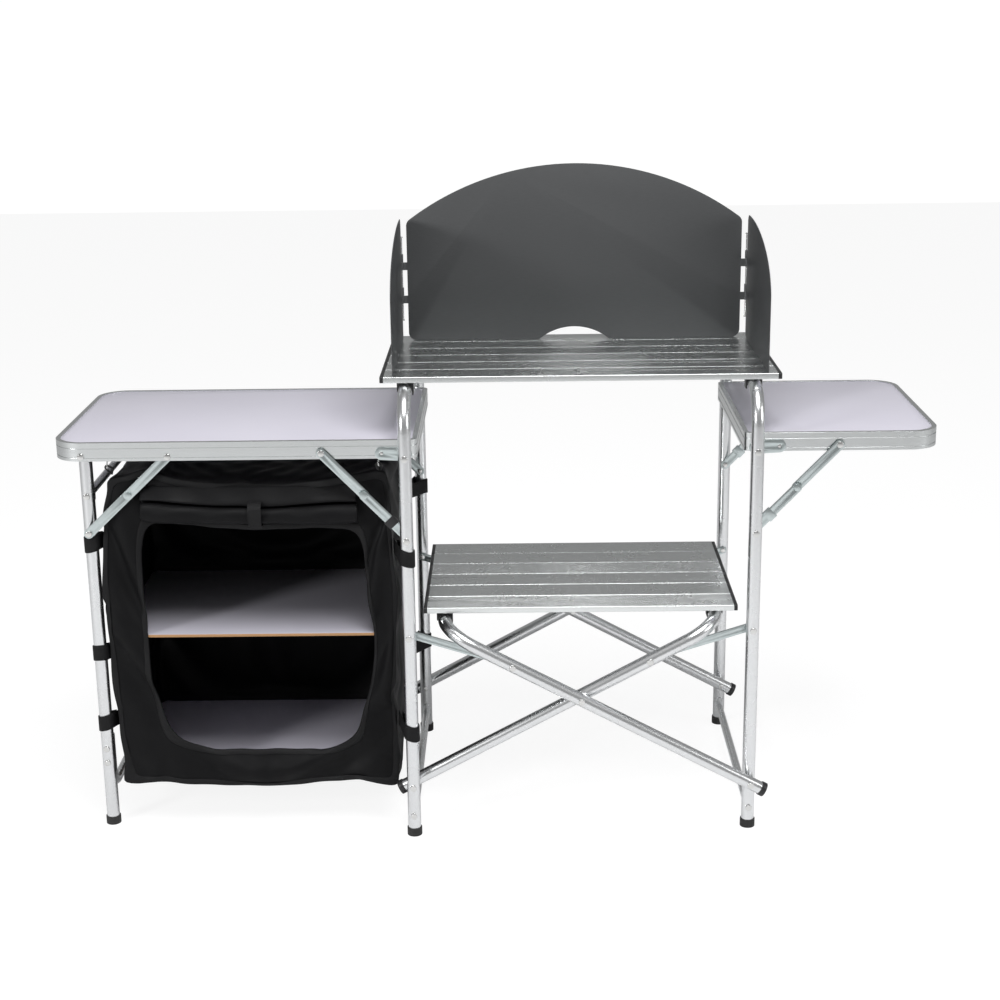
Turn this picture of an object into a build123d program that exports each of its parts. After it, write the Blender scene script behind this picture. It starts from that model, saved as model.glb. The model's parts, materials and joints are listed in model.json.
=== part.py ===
"""Folding camp kitchen table: tube frame, roll-top shelves, windshield, side tables and cupboard.

Millimetres, +Z up, +X along the longest side, -Y towards the person who cooks.
The frame is drawn round its own middle and moved sideways on export, so that
the finished part is centred on X = 0.
"""

import math
import os

from build123d import *

# Main frame: two leg frames and two crossing frames of round tube.
TUBE_R = 11.0
TUBE_WALL = 1.2
LEG_X = 289.0            # leg centres either side of the frame's middle
LEG_HALF = 226.25        # front and rear tube centres from a frame's own plane
PLANE = 11.25            # left and right frames sit this far either side of Y = 0
LEG_BEND = 60.0
CROSS_BEND = 60.0
HOB_BAR_Z = 772.0        # top bars of the leg frames
CROSS_BAR_X = 232.0      # top bars of the crossing frames
CROSS_BAR_Z = 371.0
CROSS_PIVOT_Z = 90.0
CROSS_OVERHANG = 25.0
LINK_LEG_Z = 363.0
LINK_W = 14.0
LINK_CROSS_X = 116.4
STRETCHER_Z = 38.0
STRETCHER_R = 7.0
FOOT_R = 12.8
FOOT_H = 14.0
CROSS_CAP_H = 9.0

# Roll-top shelves.
SLATS = 6
SLAT_PITCH = 61.0
SLAT_W = 60.4
SLAT_T = 10.0
SLAT_WALL = 1.3
SHELF_Y = -3.0
HOB_TOP = 796.0
HOB_HALF = 330.0
LOWER_TOP = 395.0
LOWER_HALF = 267.0
CAP_T = 6.0
CORD_R = 1.5
CLIP_W = 27.0
CLIP_D = 20.0
CLIP_Y = 152.0          # clip middles from each frame's own plane

# Side tables.
TABLE_TOP = 697.0
EDGE_H = 31.0
TABLE_HALF = 202.0
TABLE_IN = 270.0
LEFT_OUT = 874.0
RIGHT_OUT = 596.0
CORNER_R = 50.0
EDGE_WALL = 3.0
BOARD_T = 12.0
PANEL_T = 5.0            # the cupboard's two thin boards
HINGE_Z = 673.0
BRACKET_SCREW = (328.0, 675.0)

# Two-part folding stays.
STAY_W = 16.0
STAY_T = 2.4
STAY_LEG_Z = 533.5
STAY_TOP = (427.5, 677.0)
STAY_END_TOP = (681.0, 672.5)
STAY_END_LEG_Z = 537.0

# Legs at the left end.
END_X = 824.0
END_HALF = 171.0
END_TOP = 680.5
END_PIVOT_Z = 674.0
END_BAR_Z = 600.0

# Fabric cupboard.
BOX_X = (-800.0, -318.0)
BOX_Y = (-188.0, 166.0)
BOX_Z = (80.0, 640.0)
CLOTH = 1.2
MOUTH_X = (-736.0, -366.0)
MOUTH_Z = (152.0, 548.0)
SHELF_BOARD_Z = 347.0
ROLL_R = 21.0

# Windshield.
SHEET = 1.2
SHIELD_Y = 138.0
SHIELD_HALF = 299.0
SHIELD_SIDE_H = 213.0
SHIELD_MID_H = 313.0
HINGE_ROD_X = 309.0
HINGE_ROD_R = 2.0
KNUCKLE_R = 3.4
WING_LENGTH = 314.0
NOTCH_HALF = 62.0
NOTCH_H = 22.0
KNUCKLES = ((67, 81.5, 96), (127, 141.5, 156))
ROD_SPAN = (36.0, 187.0)
SHIELD_CORNER = 14.0
WING_SHOULDER = 120.0    # height where a wing's front edge starts to curve
WING_TOP = 221.0
WING_BACK = 30.0         # distance from the hinge where that curve ends

# Fasteners.
SHANK_R = 3.0
HOLE_R = 3.08
HEAD_R = 5.6
HEAD_T = 2.6
TAIL_R = 4.6
TAIL_T = 2.2

MOVE_X = (LEFT_OUT - RIGHT_OUT) / 2
CLEAR = 0.05


def rod_y(x, z, a, b, radius):
    """Round bar along Y between a and b."""
    return Pos(x, (a + b) / 2, z) * Rot(90, 0, 0) * Cylinder(radius, abs(b - a))


def rod_z(x, y, a, b, radius):
    """Round bar along Z between a and b."""
    return Pos(x, y, (a + b) / 2) * Cylinder(radius, abs(b - a))


def block(x, y, z):
    """Box between three (low, high) pairs."""
    size = [abs(v[1] - v[0]) for v in (x, y, z)]
    return Pos(*[(v[0] + v[1]) / 2 for v in (x, y, z)]) * Box(*size)


def pipe(points, bend, radius=TUBE_R, wall=TUBE_WALL):
    """Bent tube along a run of points."""
    path = FilletPolyline(*points, radius=bend)
    ring = Plane(origin=path @ 0, z_dir=path % 0) * (Circle(radius) - Circle(radius - wall))
    return sweep(ring, path=path)


def flat_bar(p, q, width, y0, y1, hole=HOLE_R):
    """Flat bar with round ends in the XZ plane, drilled at both ends p and q."""
    run, rise = q[0] - p[0], q[1] - p[1]
    length = math.hypot(run, rise)
    shape = SlotCenterToCenter(length, width)
    for end in (-length / 2, length / 2):
        shape -= Pos(end, 0) * Circle(hole)
    solid = extrude(shape, abs(y1 - y0))
    turn = Rot(90, 0, 0) * Rot(0, 0, math.degrees(math.atan2(rise, run)))
    return Pos((p[0] + q[0]) / 2, max(y0, y1), (p[1] + q[1]) / 2) * turn * solid


def rivet(x, z, outer, inner, head=HEAD_T, tail=TAIL_T, tail_r=TAIL_R):
    """Rivet along Y: the head lies outside `outer`, the tail beyond `inner`."""
    side = 1 if inner > outer else -1
    body = rod_y(x, z, outer, inner, SHANK_R)
    if head:
        body += rod_y(x, z, outer - side * head, outer, HEAD_R)
    if tail:
        body += rod_y(x, z, inner, inner + side * tail, tail_r)
    return body


def bush(x, z, a, b, radius=7.0):
    """Plastic spacer along Y."""
    return rod_y(x, z, a, b, radius) - rod_y(x, z, min(a, b) - 1, max(a, b) + 1, HOLE_R)


def drill(solid, spots, reach=300):
    """Cut rivet holes along Y at each (x, z)."""
    for x, z in spots:
        solid -= rod_y(x, z, -reach, reach, HOLE_R)
    return solid


def tube_y(plane, side):
    """Y of a frame's front (-1) or rear (1) tube."""
    return plane + side * LEG_HALF


def outer_y(plane, side):
    """Y of the outside of that tube."""
    return tube_y(plane, side) + side * TUBE_R


def inner_y(plane, side):
    """Y of the inside of that tube."""
    return tube_y(plane, side) - side * TUBE_R


# ---------------------------------------------------------------- main frame
SIDES = (-1, 1)                       # -1 is left or front, 1 is right or rear
CROSS_SLOPE = (CROSS_BAR_Z - CROSS_PIVOT_Z) / (LEG_X + CROSS_BAR_X)
CROSS_MID_Z = CROSS_PIVOT_Z + CROSS_SLOPE * LEG_X
LINK_CROSS_Z = CROSS_MID_Z + CROSS_SLOPE * LINK_CROSS_X


def leg_frame(hand):
    """Upside-down U of tube, left (-1) or right (1)."""
    x, plane = hand * LEG_X, hand * PLANE
    front, rear = tube_y(plane, -1), tube_y(plane, 1)
    run = [(x, front, 3), (x, front, HOB_BAR_Z), (x, rear, HOB_BAR_Z), (x, rear, 3)]
    heights = (STRETCHER_Z, CROSS_PIVOT_Z, LINK_LEG_Z, STAY_LEG_Z, HINGE_Z)
    return drill(pipe(run, LEG_BEND), [(x, z) for z in heights])


def cross_frame(hand):
    """Slanting U of tube whose top bar is on the `hand` side and whose feet are on the other."""
    plane = hand * PLANE
    length = math.hypot(LEG_X + CROSS_BAR_X, CROSS_BAR_Z - CROSS_PIVOT_Z)
    over = CROSS_OVERHANG / length
    end_x = -hand * (LEG_X + over * (LEG_X + CROSS_BAR_X))
    end_z = CROSS_PIVOT_Z - over * (CROSS_BAR_Z - CROSS_PIVOT_Z)
    bar = hand * CROSS_BAR_X
    front, rear = tube_y(plane, -1), tube_y(plane, 1)
    run = [(end_x, front, end_z), (bar, front, CROSS_BAR_Z), (bar, rear, CROSS_BAR_Z), (end_x, rear, end_z)]
    spots = [(-hand * LEG_X, CROSS_PIVOT_Z), (0, CROSS_MID_Z), (hand * LINK_CROSS_X, LINK_CROSS_Z)]
    return drill(pipe(run, CROSS_BEND), spots), (end_x, end_z)


def cup(length, wall=1.8, floor=3.0):
    """Cap that slides over a tube's end: closed end at Z = 0, opening upwards."""
    body = rod_z(0, 0, 0, length, TUBE_R + wall)
    return body - rod_z(0, 0, floor, length + 1, TUBE_R + CLEAR)


def cross_caps(ends):
    """The four caps on the crossing frames' lower ends."""
    caps = []
    for hand, (x, z) in ends:
        slope = Vector(hand * (LEG_X + CROSS_BAR_X), 0, CROSS_BAR_Z - CROSS_PIVOT_Z).normalized()
        for side in SIDES:
            start = Vector(x, tube_y(hand * PLANE, side), z) - slope * 3
            caps.append(Plane(origin=start, z_dir=slope) * cup(CROSS_CAP_H, wall=1.4))
    return caps


def feet(spots):
    """Rubber feet under the tubes at each (x, y)."""
    foot = cup(FOOT_H) - rod_z(0, 0, -1, 0.8, 7.5)
    return [Pos(x, y, 0) * foot for x, y in spots]


def stretcher(hand):
    """Side rail near the floor with its ends flattened against the legs."""
    x, plane = hand * LEG_X, hand * PLANE
    front, rear = inner_y(plane, -1) + CLEAR, inner_y(plane, 1) - CLEAR
    rail = rod_y(x, STRETCHER_Z, front, rear, STRETCHER_R)
    for a, b in ((front, front + 3), (rear - 3, rear)):
        tab = Pos(x, b, STRETCHER_Z + 3) * Rot(90, 0, 0) * extrude(RectangleRounded(18, 32, 6), 3)
        rail += tab
    rail -= rod_y(x, STRETCHER_Z, front + 3, rear - 3, STRETCHER_R - 1.2)
    return rail - rod_y(x, STRETCHER_Z, front - 1, rear + 1, HOLE_R)


def links(hand):
    """Front and rear links from a leg frame to its crossing frame."""
    bars = []
    for side in SIDES:
        face = inner_y(hand * PLANE, side) - side * CLEAR
        p, q = (hand * LEG_X, LINK_LEG_Z), (hand * LINK_CROSS_X, LINK_CROSS_Z)
        bars.append(flat_bar(p, q, LINK_W, face, face - side * 3))
    return bars


def frame_rivets():
    """Rivets and bolts of the main frame."""
    group = []
    for side in SIDES:
        far, near = side * (PLANE + LEG_HALF + TUBE_R), side * (LEG_HALF - PLANE - TUBE_R)
        for x, z in ((-LEG_X, CROSS_PIVOT_Z), (LEG_X, CROSS_PIVOT_Z), (0, CROSS_MID_Z)):
            group.append(rivet(x, z, far, near))
        for hand in SIDES:
            out, inn = outer_y(hand * PLANE, side), inner_y(hand * PLANE, side)
            inn -= side * (3 + 2 * CLEAR)
            group.append(rivet(hand * LEG_X, LINK_LEG_Z, out, inn))
            group.append(rivet(hand * LINK_CROSS_X, LINK_CROSS_Z, out, inn))
            group.append(rivet(hand * LEG_X, STRETCHER_Z, out, inn))
    return group


# -------------------------------------------------------------------- shelves
def slat_rows():
    """Y of each slat's middle, front to back."""
    first = SHELF_Y - SLAT_PITCH * (SLATS - 1) / 2
    return [first + SLAT_PITCH * i for i in range(SLATS)]


def cells():
    """Middles and size of the three hollow cells in a slat."""
    width = (SLAT_W - 2 * SLAT_WALL - 2 * 1.2) / 3
    height = SLAT_T - 2 * SLAT_WALL
    return [(-width - 1.2, 0), (0, 0), (width + 1.2, 0)], width, height


def slat(top, half, row, rows):
    """Hollow extruded slat with shallow grooves along its top."""
    spots, width, height = cells()
    shape = RectangleRounded(SLAT_W, SLAT_T, 1.2)
    for spot in spots:
        shape -= Pos(*spot) * Rectangle(width, height)
    for i in range(-4, 5):
        shape -= Pos(i * 6.2, SLAT_T / 2) * Rectangle(1.0, 0.7)
    solid = extrude(Plane.YZ * shape, half - CAP_T, both=True)
    solid = Pos(0, row, top - SLAT_T / 2) * solid
    for side in SIDES:
        x = side * (half - 66)
        solid -= rod_y(x, top - SLAT_T / 2, rows[0], rows[-1], CORD_R + 0.3)
    return solid


def end_caps(top, half, hand, rows):
    """Plastic end caps, one per slat, with pegs into the cells."""
    spots, width, height = cells()
    caps = []
    for row in rows:
        cap = extrude(Plane.YZ * RectangleRounded(SLAT_W, SLAT_T, 2), CAP_T - CLEAR)
        for u, v in spots:
            cap += Pos(-6, u, v) * Box(12, width - 0.4, height - 0.4)
        cap = mirror(cap, Plane.YZ) if hand < 0 else cap
        caps.append(Pos(hand * (half - CAP_T + CLEAR), row, top - SLAT_T / 2) * cap)
    return caps


def shelf_cords(top, half, rows):
    """Elastic cords that string the slats together, knotted in the end slats."""
    cords = []
    for side in SIDES:
        x, z = side * (half - 66), top - SLAT_T / 2
        cord = rod_y(x, z, rows[0], rows[-1], CORD_R)
        for y in (rows[0], rows[-1]):
            cord += Pos(x, y, z) * Sphere(2.9)
        cords.append(cord)
    return cords


def clips(under, bar_x, bar_z):
    """Saddles under the end slats that drop over the frame's top bars."""
    group = []
    for hand in SIDES:
        x = hand * bar_x
        for side in SIDES:
            y = hand * PLANE + side * CLIP_Y
            span = (y - CLIP_D / 2, y + CLIP_D / 2)
            body = block((x - CLIP_W / 2, x + CLIP_W / 2), span, (bar_z - 3, under - CLEAR))
            long_leg = (x - hand * CLIP_W / 2, x - hand * (TUBE_R + 0.2))
            body += block(long_leg, span, (bar_z - 9, bar_z))
            body -= rod_y(x, bar_z, span[0] - 1, span[1] + 1, TUBE_R + 0.15)
            body -= block((x - TUBE_R - 0.15, x + TUBE_R + 0.15), (y - 20, y + 20), (bar_z - 20, bar_z))
            group.append(body)
    return group


# ----------------------------------------------------------------- side tables
def outline(out, inset):
    """Table outline towards +X, outer corners rounded, drawn in by `inset`."""
    shape = Pos((TABLE_IN + out) / 2, 0) * Rectangle(out - TABLE_IN - 2 * inset, 2 * (TABLE_HALF - inset))
    ends = shape.vertices().group_by(Axis.X)
    shape = fillet(ends[-1], CORNER_R - inset)
    return fillet(shape.vertices().group_by(Axis.X)[0], max(14 - inset, 1.5))


def ring(out, inset0, inset1, z0, z1):
    """Ring between two inset outlines, from z0 to z1."""
    shape = outline(out, inset0) - outline(out, inset1)
    return Pos(0, 0, z0) * extrude(shape, z1 - z0)


def place_table(solid, hand):
    """Put a table drawn towards +X on its own side and plane."""
    solid = mirror(solid, Plane.YZ) if hand < 0 else solid
    return Pos(0, hand * PLANE, 0) * solid


def table_board(out, hand):
    """Laminated board that sits in the edge profile."""
    board = extrude(outline(out, EDGE_WALL + CLEAR), BOARD_T)
    return place_table(Pos(0, 0, TABLE_TOP - 1.5 - CLEAR - BOARD_T) * board, hand)


def table_edge(out, hand, spots):
    """Aluminium edge profile: fluted wall, top lip, board ledge and bottom lip."""
    low, ledge = TABLE_TOP - EDGE_H, TABLE_TOP - 1.5 - 2 * CLEAR - BOARD_T
    edge = ring(out, 0, EDGE_WALL, low, TABLE_TOP)
    edge += ring(out, 1, 8, TABLE_TOP - 1.5, TABLE_TOP)
    edge += ring(out, 1, 12, ledge - 1.5, ledge)
    edge += ring(out, 1, 9, low, low + 1.5)
    for z in (low + 5, low + 21):
        edge -= ring(out, -1, 0.9, z, z + 2)
    return place_table(drill(edge, spots), hand)


def brackets(hand, off):
    """Plates on the edge that carry the hinge bolts, front and rear."""
    group = []
    for side in SIDES:
        face = hand * PLANE + side * (TABLE_HALF + CLEAR)
        p, q = (hand * LEG_X, HINGE_Z), (hand * BRACKET_SCREW[0], BRACKET_SCREW[1])
        group.append(flat_bar(p, q, 22, face, face + side * off))
    return group


def hinge_bushes(hand):
    """Spacers between legs and table brackets, and between legs and stays."""
    group = []
    for side in SIDES:
        c = hand * PLANE
        leg = inner_y(c, side) - side * CLEAR
        group.append(bush(hand * LEG_X, HINGE_Z, c + side * (TABLE_HALF + 2.6), leg))
        group.append(bush(hand * LEG_X, STAY_LEG_Z, c + side * (TABLE_HALF + 10.1), leg))
    return group


def hinge_bolts(hand):
    """Bolts from leg to table edge, and from leg to lower stay."""
    group = []
    for side in SIDES:
        c = hand * PLANE
        out = outer_y(c, side)
        group.append(rivet(hand * LEG_X, HINGE_Z, out, c + side * (TABLE_HALF - EDGE_WALL)))
        group.append(rivet(hand * LEG_X, STAY_LEG_Z, out, c + side * (TABLE_HALF + 7.6), tail=2.1))
    return group


def table_screws(hand, tops):
    """Flush bracket screws and the stays' upper rivets in one table's edge."""
    group = []
    for side in SIDES:
        c = hand * PLANE
        inside, face = c + side * (TABLE_HALF - EDGE_WALL), c + side * (TABLE_HALF + 2.5)
        group.append(rivet(hand * BRACKET_SCREW[0], BRACKET_SCREW[1], face, inside, head=0))
        for x, z in tops:
            shank = c + side * (TABLE_HALF + 5.35)
            pin = rivet(hand * x, z, shank, inside, head=2.0)
            group.append(pin + rod_y(hand * x, z, c + side * (TABLE_HALF + CLEAR), c + side * (TABLE_HALF + 2.8), 6))
    return group


def middle(p, q):
    """Point halfway between p and q."""
    return (p[0] + q[0]) / 2, (p[1] + q[1]) / 2


def stay(leg, top, hand, side, lower_y, upper_y):
    """Lower bar, upper bar, the middle rivet's two halves, and sleeve of one stay."""
    low, high = (hand * leg[0], leg[1]), (hand * top[0], top[1])
    mid = middle(low, high)
    lower = flat_bar(low, mid, STAY_W, lower_y, lower_y + side * STAY_T)
    upper = flat_bar(mid, high, STAY_W, upper_y, upper_y - side * STAY_T)
    gap = sorted((upper_y + side * CLEAR, lower_y - side * CLEAR))
    outer_pin = rivet(*mid, lower_y + side * STAY_T, upper_y + side * CLEAR, head=1.9, tail=0)
    outer_pin += rod_y(*mid, *gap, 6)
    inner_pin = rivet(*mid, upper_y - side * STAY_T, upper_y, head=0, tail=0)
    spot = [low[i] + (mid[i] - low[i]) * 0.36 for i in (0, 1)]
    turn = math.degrees(math.atan2(mid[1] - low[1], mid[0] - low[0]))
    at = Pos(spot[0], lower_y + side * STAY_T / 2, spot[1]) * Rot(0, -turn, 0)
    sleeve = at * (Box(15, 5.4, 20) - Box(16, STAY_T + 0.1, STAY_W + 0.1))
    return lower, upper, outer_pin, inner_pin, sleeve


def near_stay(hand, side):
    """Stay from a main leg to the table edge."""
    c = hand * PLANE
    lower_y, upper_y = c + side * (TABLE_HALF + 7.6), c + side * (TABLE_HALF + 5.3)
    return stay((LEG_X, STAY_LEG_Z), STAY_TOP, hand, side, lower_y, upper_y)


def end_stay(side):
    """Stay from a left end leg up behind the table edge."""
    c = -PLANE
    leg = END_HALF + TUBE_R
    lower_y, upper_y = c + side * (leg + 4), c + side * (leg + 10.8)
    low, high = (-END_X, STAY_END_LEG_Z), (-STAY_END_TOP[0], STAY_END_TOP[1])
    mid = middle(low, high)
    lower = flat_bar(low, mid, STAY_W, lower_y, lower_y + side * STAY_T)
    upper = flat_bar(mid, high, STAY_W, upper_y, upper_y - side * STAY_T)
    pin = rivet(*mid, upper_y, lower_y, head=1.9, tail=1.9)
    pin += rod_y(*mid, *sorted((lower_y + side * (STAY_T + CLEAR), upper_y - side * (STAY_T + CLEAR))), 6)
    return lower, upper, pin


def end_fixings():
    """Bolts, rivets and bushes of the left end legs, stays and rails."""
    metal, plastic = [], []
    c = -PLANE
    for side in SIDES:
        leg_out, leg_in = c + side * (END_HALF + TUBE_R), c + side * (END_HALF - TUBE_R)
        face, back = c + side * TABLE_HALF, c + side * (TABLE_HALF - EDGE_WALL)
        metal.append(rivet(-END_X, END_PIVOT_Z, face, leg_in))
        plastic.append(bush(-END_X, END_PIVOT_Z, leg_out + side * CLEAR, back - side * 0.5, radius=5.5))
        stay_out = leg_out + side * (4 + STAY_T)
        metal.append(rivet(-END_X, STAY_END_LEG_Z, stay_out, leg_in))
        plastic.append(bush(-END_X, STAY_END_LEG_Z, leg_out + side * CLEAR, leg_out + side * 3.95))
        inner = c + side * (END_HALF + TUBE_R + 10.8 - STAY_T)
        metal.append(rivet(-STAY_END_TOP[0], STAY_END_TOP[1], face, inner, tail=2.0))
        gap = (c + side * (END_HALF + TUBE_R + 10.85), back - side * CLEAR)
        plastic.append(bush(-STAY_END_TOP[0], STAY_END_TOP[1], *gap, radius=4.6))
        for z in (144.0, 118.0):
            metal.append(rivet(-END_X, z, leg_out, leg_in - side * 16.1))
        metal.append(rivet(-END_X, END_BAR_Z, leg_out, leg_in - side * 3.1))
    return metal, plastic


def end_leg(side):
    """Straight leg at the left end of the left table."""
    y = -PLANE + side * END_HALF
    tube = rod_z(-END_X, y, 3, END_TOP, TUBE_R) - rod_z(-END_X, y, 0, 700, TUBE_R - TUBE_WALL)
    return drill(tube, [(-END_X, z) for z in (144.0, 118.0, STAY_END_LEG_Z, END_BAR_Z, END_PIVOT_Z)])


def end_rail():
    """U-shaped rail riveted behind the two left end legs."""
    reach = END_HALF - TUBE_R - 8.05
    front, rear = -PLANE - reach, -PLANE + reach
    run = [(-END_X, front, 160), (-END_X, front, 62), (-END_X, rear, 62), (-END_X, rear, 160)]
    return drill(pipe(run, 30, radius=8.0), [(-END_X, 144.0), (-END_X, 118.0)])


def end_bar():
    """Straight rail under the table between the left end legs."""
    reach = END_HALF - TUBE_R - CLEAR
    front, rear = -PLANE - reach, -PLANE + reach
    rail = rod_y(-END_X, END_BAR_Z, front, rear, STRETCHER_R)
    for b in (front + 3, rear):
        rail += Pos(-END_X, b, END_BAR_Z) * Rot(90, 0, 0) * extrude(RectangleRounded(18, 30, 6), 3)
    rail -= rod_y(-END_X, END_BAR_Z, front + 3, rear - 3, STRETCHER_R - 1.2)
    return drill(rail, [(-END_X, END_BAR_Z)])


# -------------------------------------------------------------------- cupboard
def shell():
    """Fabric box with an open mouth in front."""
    x, y, z = BOX_X, BOX_Y, BOX_Z
    outer = fillet(block(x, y, z).edges().filter_by(Axis.Z), 12)
    inner = block((x[0] + CLOTH, x[1] - CLOTH), (y[0] + CLOTH, y[1] - CLOTH), (z[0] + CLOTH, z[1] - CLOTH))
    inner = fillet(inner.edges().filter_by(Axis.Z), 12 - CLOTH)
    mouth = Rectangle(MOUTH_X[1] - MOUTH_X[0], MOUTH_Z[1] - MOUTH_Z[0])
    low = mouth.vertices().group_by(Axis.Y)[0].sort_by(Axis.X)
    mouth = fillet(low[0], 90)
    mouth = fillet(mouth.vertices().group_by(Axis.Y)[0].sort_by(Axis.X)[-1], 55)
    cut = Pos(middle(MOUTH_X, (0, 0))[0] + MOUTH_X[1] / 2, y[0] + 20, sum(MOUTH_Z) / 2)
    return outer - inner - cut * Rot(90, 0, 0) * extrude(mouth, 40)


def cupboard_board(z, gap):
    """Board that fills the cupboard's plan."""
    x, y = BOX_X, BOX_Y
    lim = CLOTH + gap
    board = block((x[0] + lim, x[1] - lim), (y[0] + lim, y[1] - lim), (z, z + PANEL_T))
    return fillet(board.edges().filter_by(Axis.Z), 11)


def strap(leg, anchor, z, turn):
    """Band round a leg whose tail runs to a point on the box."""
    mid_r, thick, high = TUBE_R + 0.75, 1.3, 27.0
    dx, dy = anchor[0] - leg[0], anchor[1] - leg[1]
    reach = math.hypot(dx, dy)
    tilt = math.atan2(dy, dx) + turn * math.acos(mid_r / reach)
    touch = (leg[0] + mid_r * math.cos(tilt), leg[1] + mid_r * math.sin(tilt))
    tail = math.hypot(anchor[0] - touch[0], anchor[1] - touch[1])
    angle = math.degrees(math.atan2(anchor[1] - touch[1], anchor[0] - touch[0]))
    band = rod_z(*leg, z, z + high, mid_r + thick / 2) - rod_z(*leg, z - 1, z + high + 1, mid_r - thick / 2)
    strip = Pos(*middle(touch, anchor), z + high / 2) * Rot(0, 0, angle) * Box(tail, thick, high)
    return band + (strip - rod_z(*leg, z - 1, z + high + 1, mid_r))


def straps_on_end_legs():
    """Hook-and-loop straps on the left end legs."""
    group = []
    for side in SIDES:
        leg = (-END_X, -PLANE + side * END_HALF)
        anchor = (BOX_X[0] - 0.8, leg[1] - side * 16)
        group += [strap(leg, anchor, z, side) for z in (503.0, 306.0, 178.0)]
    return group


def straps_on_main_legs():
    """Hook-and-loop straps on the main frame's left legs."""
    group = []
    for side, y in ((-1, BOX_Y[0] + 13), (1, BOX_Y[1] - 13)):
        leg = (-LEG_X, tube_y(-PLANE, side))
        group += [strap(leg, (BOX_X[1] + 0.9, y), z, -side) for z in (489.0, 177.0)]
    return group


def hangers():
    """Elastic loops from the box's top corners to the table edge."""
    group = []
    for x in (BOX_X[0] + 16, BOX_X[1] - 16):
        for side, y in ((-1, BOX_Y[0] + 8), (1, BOX_Y[1] - 8)):
            low = Vector(x, y, BOX_Z[1] + 2.1)
            high = Vector(x, -PLANE + side * (TABLE_HALF - 5), TABLE_TOP - EDGE_H - 2.1)
            run = high - low
            cord = Plane(origin=(low + high) / 2, z_dir=run.normalized()) * Cylinder(2, run.length)
            group.append(cord + Pos(*low) * Sphere(2) + Pos(*high) * Sphere(2))
    return group


def door():
    """Door flap rolled up over the mouth, and the tie round it."""
    y, z = BOX_Y[0] - ROLL_R - 2, MOUTH_Z[1] + 29
    roll = Pos(sum(MOUTH_X) / 2, y, z) * Rot(0, 90, 0) * Cylinder(ROLL_R, MOUTH_X[1] - MOUTH_X[0] - 8)
    tie = Pos(sum(MOUTH_X) / 2 + 12, y, z) * Rot(0, 90, 0) * (Cylinder(ROLL_R + 1.4, 22) - Cylinder(ROLL_R + 0.1, 30))
    return roll, tie


# ------------------------------------------------------------------ windshield
def sheet(shape, y):
    """Thin sheet from a sketch of X and Z, its middle at y."""
    return Pos(0, y, HOB_TOP) * extrude(Plane.XZ * shape, SHEET / 2, both=True)


def knuckle(hand, low, high, wing):
    """Curl round the hinge rod, joined to the centre panel or to a wing."""
    x = hand * HINGE_ROD_X
    curl = rod_z(x, SHIELD_Y, HOB_TOP + low + 0.3, HOB_TOP + high - 0.3, KNUCKLE_R)
    span = (HOB_TOP + low + 0.3, HOB_TOP + high - 0.3)
    half = SHEET / 2
    if wing:
        curl += block((x - half, x + half), (SHIELD_Y - 10.5, SHIELD_Y), span)
    else:
        edge = sorted((hand * (SHIELD_HALF - 0.5), x))
        curl += block(edge, (SHIELD_Y - half, SHIELD_Y + half), span)
    return curl - rod_z(x, SHIELD_Y, HOB_TOP, HOB_TOP + 400, HINGE_ROD_R + 0.08)


def shield_centre():
    """Centre panel with its arched top and half-moon notch."""
    w, h = SHIELD_HALF, SHIELD_SIDE_H
    edges = Line((-w, 0), (-NOTCH_HALF, 0))
    edges += ThreePointArc((-NOTCH_HALF, 0), (0, NOTCH_H), (NOTCH_HALF, 0))
    edges += Polyline((NOTCH_HALF, 0), (w, 0), (w, h))
    edges += ThreePointArc((w, h), (0, SHIELD_MID_H), (-w, h))
    edges += Line((-w, h), (-w, 0))
    face = make_face(edges)
    corners = [v for v in face.vertices() if abs(abs(v.X) - w) < 0.1]
    panel = sheet(fillet(corners, SHIELD_CORNER), SHIELD_Y)
    for hand in SIDES:
        for low, mid, _ in KNUCKLES:
            panel += knuckle(hand, low, mid, False)
    return panel


def shield_wing(hand):
    """Side panel that runs forward from the hinge, its top swept down in a quarter of an ellipse."""
    rise, run = WING_TOP - WING_SHOULDER, WING_LENGTH - WING_BACK
    shape = Pos((WING_LENGTH + 10) / 2, WING_SHOULDER / 2) * Rectangle(WING_LENGTH - 10, WING_SHOULDER)
    shape += Pos((WING_BACK + 10) / 2, WING_SHOULDER + rise / 2) * Rectangle(WING_BACK - 10, rise)
    quarter = Pos(WING_BACK, WING_SHOULDER) * Ellipse(run, rise)
    shape += quarter & Pos(WING_BACK + run / 2, WING_SHOULDER + rise / 2) * Rectangle(run, rise)
    corners = [v for v in shape.vertices() if abs(v.X - 10) < 0.1]
    shape = fillet(corners, SHIELD_CORNER)
    panel = extrude(shape, SHEET / 2, both=True)
    panel = Pos(hand * HINGE_ROD_X, SHIELD_Y, HOB_TOP) * Rot(0, 0, -90) * Rot(90, 0, 0) * panel
    for _, mid, high in KNUCKLES:
        panel += knuckle(hand, mid, high, True)
    return panel


def hinge_rod(hand):
    """Rod through the knuckles, with a small head at each end."""
    x = hand * HINGE_ROD_X
    low, high = HOB_TOP + ROD_SPAN[0], HOB_TOP + ROD_SPAN[1]
    rod = rod_z(x, SHIELD_Y, low, high, HINGE_ROD_R)
    return rod + rod_z(x, SHIELD_Y, high - 2, high, 3.2) + rod_z(x, SHIELD_Y, low, low + 2, 3.2)


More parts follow.
